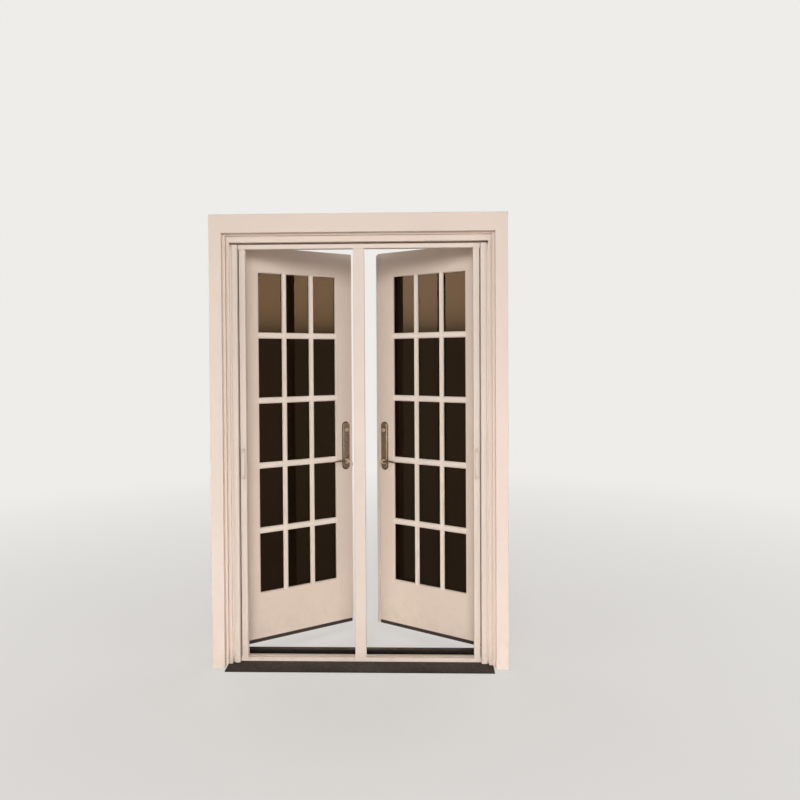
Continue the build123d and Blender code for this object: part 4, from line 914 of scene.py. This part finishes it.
class AddHingeScrews(bpy.types.Operator):
    """Add the screws of both halves of every hinge"""

    bl_idname = "doors.hinge_screws"
    bl_label = "Add Hinge Screws"

    def execute(self, context):
        radius = context.scene.door_fasteners.hinge_screw
        steel = bpy.data.materials["plated_steel"]
        on_frame = []
        for side, sign in SIDES.items():
            on_leaf = []
            edgeways = leaf_direction(side, -1.0, 0.0, 0.0)
            for z in HINGE_HEIGHTS:
                for rise, depth in HINGE_HOLES:
                    on_frame.append(((sign * RABBET_X, LEAF_FRONT_Y + depth, z + rise), (-sign, 0.0, 0.0)))
                    on_leaf.append((leaf_place(side, 0.0, depth, z + rise), edgeways))
            screw_set(side + "_hinge_screws", side + "_leaf", on_leaf, radius, steel)
        screw_set("frame_hinge_screws", "frame", on_frame, radius, steel)
        return {"FINISHED"}


class AddLockScrews(bpy.types.Operator):
    """Add the screws of the cover plates, the faceplate, the strikes and the keepers"""

    bl_idname = "doors.lock_screws"
    bl_label = "Add Lock Screws"

    def execute(self, context):
        radius = context.scene.door_fasteners.plate_screw
        steel = bpy.data.materials["plated_steel"]
        middle = LEAF_THICKNESS / 2
        for side in SIDES:
            inward = leaf_direction(side, 0.0, 1.0, 0.0)
            places = [(leaf_place(side, LOCK_S, PLATE_FACE_T, PLATE_CENTER_Z + rise), inward)
                      for rise in (-PLATE_SCREW_RISE, PLATE_SCREW_RISE)]
            nickel = bpy.data.materials[side + "_aged_nickel_painted_light"]
            screw_set(side + "_plate_screws", side + "_leaf", places, radius, nickel)
        outward = leaf_direction("left", 1.0, 0.0, 0.0)
        edge = [(leaf_place("left", LEAF_WIDTH, middle, z), outward) for z in FACEPLATE_SCREWS_Z]
        screw_set("faceplate_screws", "left_leaf", edge, radius, steel)
        outward = leaf_direction("right", 1.0, 0.0, 0.0)
        strikes = [(leaf_place("right", STRIKE_FACE_S, middle, z), outward) for z in STRIKE_SCREWS_Z]
        small = context.scene.door_fasteners.strike_screw
        screw_set("strike_screws", "right_leaf", strikes, small, steel)
        low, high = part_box("bolt_keepers")
        keepers = []
        for reach in (-KEEPER_SCREW_REACH, KEEPER_SCREW_REACH):
            keepers.append(((KEEPER_X + reach, KEEPER_Y, low.z + KEEPER_THICKNESS), (0.0, 0.0, 1.0)))
            keepers.append(((KEEPER_X + reach, KEEPER_Y, high.z - KEEPER_THICKNESS), (0.0, 0.0, -1.0)))
        screw_set("keeper_screws", "frame", keepers, radius, steel)
        return {"FINISHED"}


class AddSillScrews(bpy.types.Operator):
    """Add the screws of the threshold and the low screen track"""

    bl_idname = "doors.sill_screws"
    bl_label = "Add Sill Screws"

    def execute(self, context):
        radius = context.scene.door_fasteners.sill_screw
        up = (0.0, 0.0, 1.0)
        materials = bpy.data.materials
        crest = [((x, THRESHOLD_CREST_Y, THRESHOLD_CREST_Z), up) for x in THRESHOLD_SCREWS_X]
        screw_set("threshold_screws", "frame", crest, radius, materials["dark_bronze"])
        track = [((x, TRACK_SCREW_Y, TRACK_TOP_Z), up) for x in TRACK_SCREWS_X]
        screw_set("track_screws", "frame", track, radius, materials["powder_coat"],
                  seated=False)
        return {"FINISHED"}


class AddScreenMesh(bpy.types.Operator):
    """Add the insect mesh from each roll to its pull bar"""

    bl_idname = "doors.screen_mesh"
    bl_label = "Add Screen Mesh"

    def execute(self, context):
        settings = context.scene.screen_mesh
        material = woven_mesh("stretched_mesh", settings)
        rows = np.linspace(MESH_LOW_Z, MESH_HIGH_Z, settings.rows)
        for side, sign in SIDES.items():
            x = np.sort(sign * np.array(MESH_COLUMNS_X))
            points, faces = sheet_surface(x, rows, MESH_Y, MESH_THICKNESS)
            piece = new_piece(side + "_stretched_mesh", None, points, faces, material)
            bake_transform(piece)
        return {"FINISHED"}


class SetStudio(bpy.types.Operator):
    """Set the floor, the lamps, the room light and the camera"""

    bl_idname = "doors.studio"
    bl_label = "Set Studio"

    def execute(self, context):
        scene = context.scene
        studio = scene.door_studio
        scene.view_settings.view_transform = "Standard"
        pale_floor(studio)
        light_room(scene, studio)
        side, front, back = studio.side_power, studio.front_power, studio.back_power
        soft_box("left_lamp", (-10.0, -6.0, 3.4), LAMP_TARGET, 8.0, 2.8, side)
        soft_box("right_lamp", (10.2, -5.8, 3.4), LAMP_TARGET, 8.0, 2.8, side)
        soft_box("front_lamp", (0.3, -11.5, 4.6), LAMP_TARGET, 9.0, 4.0, front)
        low = soft_box("low_lamp", (0.3, -6.0, 0.9), LOW_LAMP_TARGET, 5.0, 1.2, studio.low_power)
        low.data.spread = LOW_LAMP_SPREAD
        soft_box("back_left_lamp", (-8.0, 8.5, 4.4), LAMP_TARGET, 8.0, 4.0, back)
        soft_box("back_right_lamp", (8.0, 8.5, 4.4), LAMP_TARGET, 8.0, 4.0, back)
        scene.camera = photo_camera(studio)
        return {"FINISHED"}


def pale_floor(studio):
    """A round floor: rings round the origin, with radius growing as the square of the ring's number."""
    around, rings = 64, 12
    radius = FLOOR_RADIUS * (np.arange(1, rings + 1) / rings) ** 2
    angle = np.arange(around) * 2 * np.pi / around
    ring = np.stack([radius[:, None] * np.cos(angle), radius[:, None] * np.sin(angle),
                     np.zeros((rings, around))], axis=-1).reshape(-1, 3)
    points = np.concatenate([np.zeros((1, 3)), ring])
    quads, fan = ring_faces(rings, around)[:2]
    mesh = bpy.data.meshes.new("pale_floor")
    mesh.from_pydata(points.tolist(), [], quads.tolist() + fan.tolist())
    floor = bpy.data.objects.new("pale_floor", mesh)
    floor.location = (0.0, 0.0, cad_low.z - FLOOR_GAP)
    bpy.context.scene.collection.objects.link(floor)
    mesh.materials.append(floor_finish(studio))
    return floor


def floor_finish(studio):
    """Matt floor near the doors. Where it is seen directly, it fades into the backdrop's colour further out.
    It throws less light back on the doors than it shows."""
    finish = Finish("pale_floor")
    seen = finish.seen_directly()
    thrown = shaded(studio.floor_color, FLOOR_LIGHT_SHARE)
    finish.drive("Base Color", finish.blend(seen, thrown, studio.floor_color))
    finish.set(Roughness=0.9, Specular_IOR_Level=0.1)
    length = finish.add("ShaderNodeVectorMath", Vector=finish.plain)
    length.operation = "LENGTH"
    far = finish.remap(length.outputs["Value"], 0.6, 6.0, studio.floor_light, 1.0)
    glow = finish.add("ShaderNodeEmission", Color=(*studio.backdrop_color, 1.0))
    finish.show(finish.product(far, seen), finish.shader, glow, finish.output)
    return finish.material


def light_room(scene, studio):
    """Even light from all round, and the backdrop's colour for what is seen directly."""
    scene.world = bpy.data.worlds.new("studio_room")
    room = NodePlan(scene.world)
    room.nodes.clear()
    light = room.add("ShaderNodeBackground", Color=(*ROOM_LIGHT_COLOR, 1.0), Strength=studio.room_light)
    backdrop = room.add("ShaderNodeBackground", Color=(*studio.backdrop_color, 1.0), Strength=1.0)
    room.show(room.seen_directly(), light, backdrop, room.add("ShaderNodeOutputWorld"))


def soft_box(name, place, target, width, height, power):
    """An oblong lamp at a place, facing a target. It is brightest in its middle and fades to its rim, by the
    product of 1 - (2u - 1)^4 and 1 - (2v - 1)^4 over its own face."""
    data = bpy.data.lights.new(name, "AREA")
    data.shape = "RECTANGLE"
    data.size = width
    data.size_y = height
    data.energy = power
    data.color = LAMP_COLOR
    plan = NodePlan(data)
    face = plan.add("ShaderNodeSeparateXYZ", Vector=plan.add("ShaderNodeNewGeometry").outputs["Parametric"])
    fades = []
    for axis in (0, 1):
        from_middle = plan.math("ABSOLUTE", plan.math("MULTIPLY_ADD", face.outputs[axis], 2.0, -1.0))
        fades.append(plan.math("SUBTRACT", 1.0, plan.math("POWER", from_middle, 4.0)))
    glow = next(node for node in plan.nodes if node.type == "EMISSION")
    plan.links.new(plan.product(*fades), glow.inputs["Strength"])
    lamp = bpy.data.objects.new(name, data)
    lamp.location = place
    lamp.rotation_euler = (Vector(target) - Vector(place)).to_track_quat("-Z", "Y").to_euler()
    lamp.visible_camera = False
    bpy.context.scene.collection.objects.link(lamp)
    return lamp


def photo_camera(studio):
    """The camera at the photograph's viewing angle: yaw, then pitch, then roll about its own axis."""
    data = bpy.data.cameras.new("photo_camera")
    data.sensor_width = 36.0
    data.lens = studio.focal_length
    data.shift_x = studio.shift_x
    data.shift_y = studio.shift_y
    data.clip_start = 0.05
    data.clip_end = 60.0
    camera = bpy.data.objects.new("photo_camera", data)
    cy, sy = math.cos(studio.camera_yaw), math.sin(studio.camera_yaw)
    cp, sp = math.cos(studio.camera_pitch), math.sin(studio.camera_pitch)
    cr, sr = math.cos(studio.camera_roll), math.sin(studio.camera_roll)
    forward = Vector((-sy * cp, cy * cp, -sp))
    level = Vector((cy, sy, 0.0))
    up = level.cross(forward)
    across = level * cr + up * sr
    upward = up * cr - level * sr
    turn = Matrix((across, upward, -forward)).transposed()
    camera.matrix_world = Matrix.Translation(studio.camera_place) @ turn.to_4x4()
    bpy.context.scene.collection.objects.link(camera)
    return camera


# Panel

class DoorPanel(bpy.types.Panel):
    """The doors' settings and pieces."""

    bl_idname = "VIEW3D_PT_doors"
    bl_label = "Double Doors"
    bl_space_type = "VIEW_3D"
    bl_region_type = "UI"
    bl_category = "Doors"

    def draw(self, context):
        layout = self.layout
        for operator in OPERATORS:
            layout.operator(operator.bl_idname)
        for name, group in SETTINGS.items():
            box = layout.box()
            for setting in group.__annotations__:
                box.prop(getattr(context.scene, name), setting)


SETTINGS = {
    "door_paint": DoorPaint,
    "door_metal": DoorMetal,
    "door_glass": DoorGlass,
    "door_fasteners": DoorFasteners,
    "screen_mesh": ScreenMesh,
    "door_studio": DoorStudio,
}

OPERATORS = (PaintFrame, PaintLeaves, FinishGlass, FinishSill, FinishHardware, FinishScreens, AddSealant,
             AddHingeScrews, AddLockScrews, AddSillScrews, AddScreenMesh, SetStudio)


def register():
    """Registers the settings, the operators and the panel."""
    for group in SETTINGS.values():
        bpy.utils.register_class(group)
    for operator in OPERATORS:
        bpy.utils.register_class(operator)
    bpy.utils.register_class(DoorPanel)
    for name, group in SETTINGS.items():
        setattr(bpy.types.Scene, name, PointerProperty(type=group))


def unregister():
    """Takes out what register put in."""
    for name in SETTINGS:
        delattr(bpy.types.Scene, name)
    bpy.utils.unregister_class(DoorPanel)
    for operator in reversed(OPERATORS):
        bpy.utils.unregister_class(operator)
    for group in SETTINGS.values():
        bpy.utils.unregister_class(group)


def main():
    """Makes every piece and finish in order."""
    register()
    bpy.ops.doors.paint_frame()
    bpy.ops.doors.paint_leaves()
    bpy.ops.doors.finish_glass()
    bpy.ops.doors.finish_sill()
    bpy.ops.doors.finish_hardware()
    bpy.ops.doors.finish_screens()
    bpy.ops.doors.sealant()
    bpy.ops.doors.hinge_screws()
    bpy.ops.doors.lock_screws()
    bpy.ops.doors.sill_screws()
    bpy.ops.doors.screen_mesh()
    bpy.ops.doors.studio()


if __name__ == "__main__":
    main()
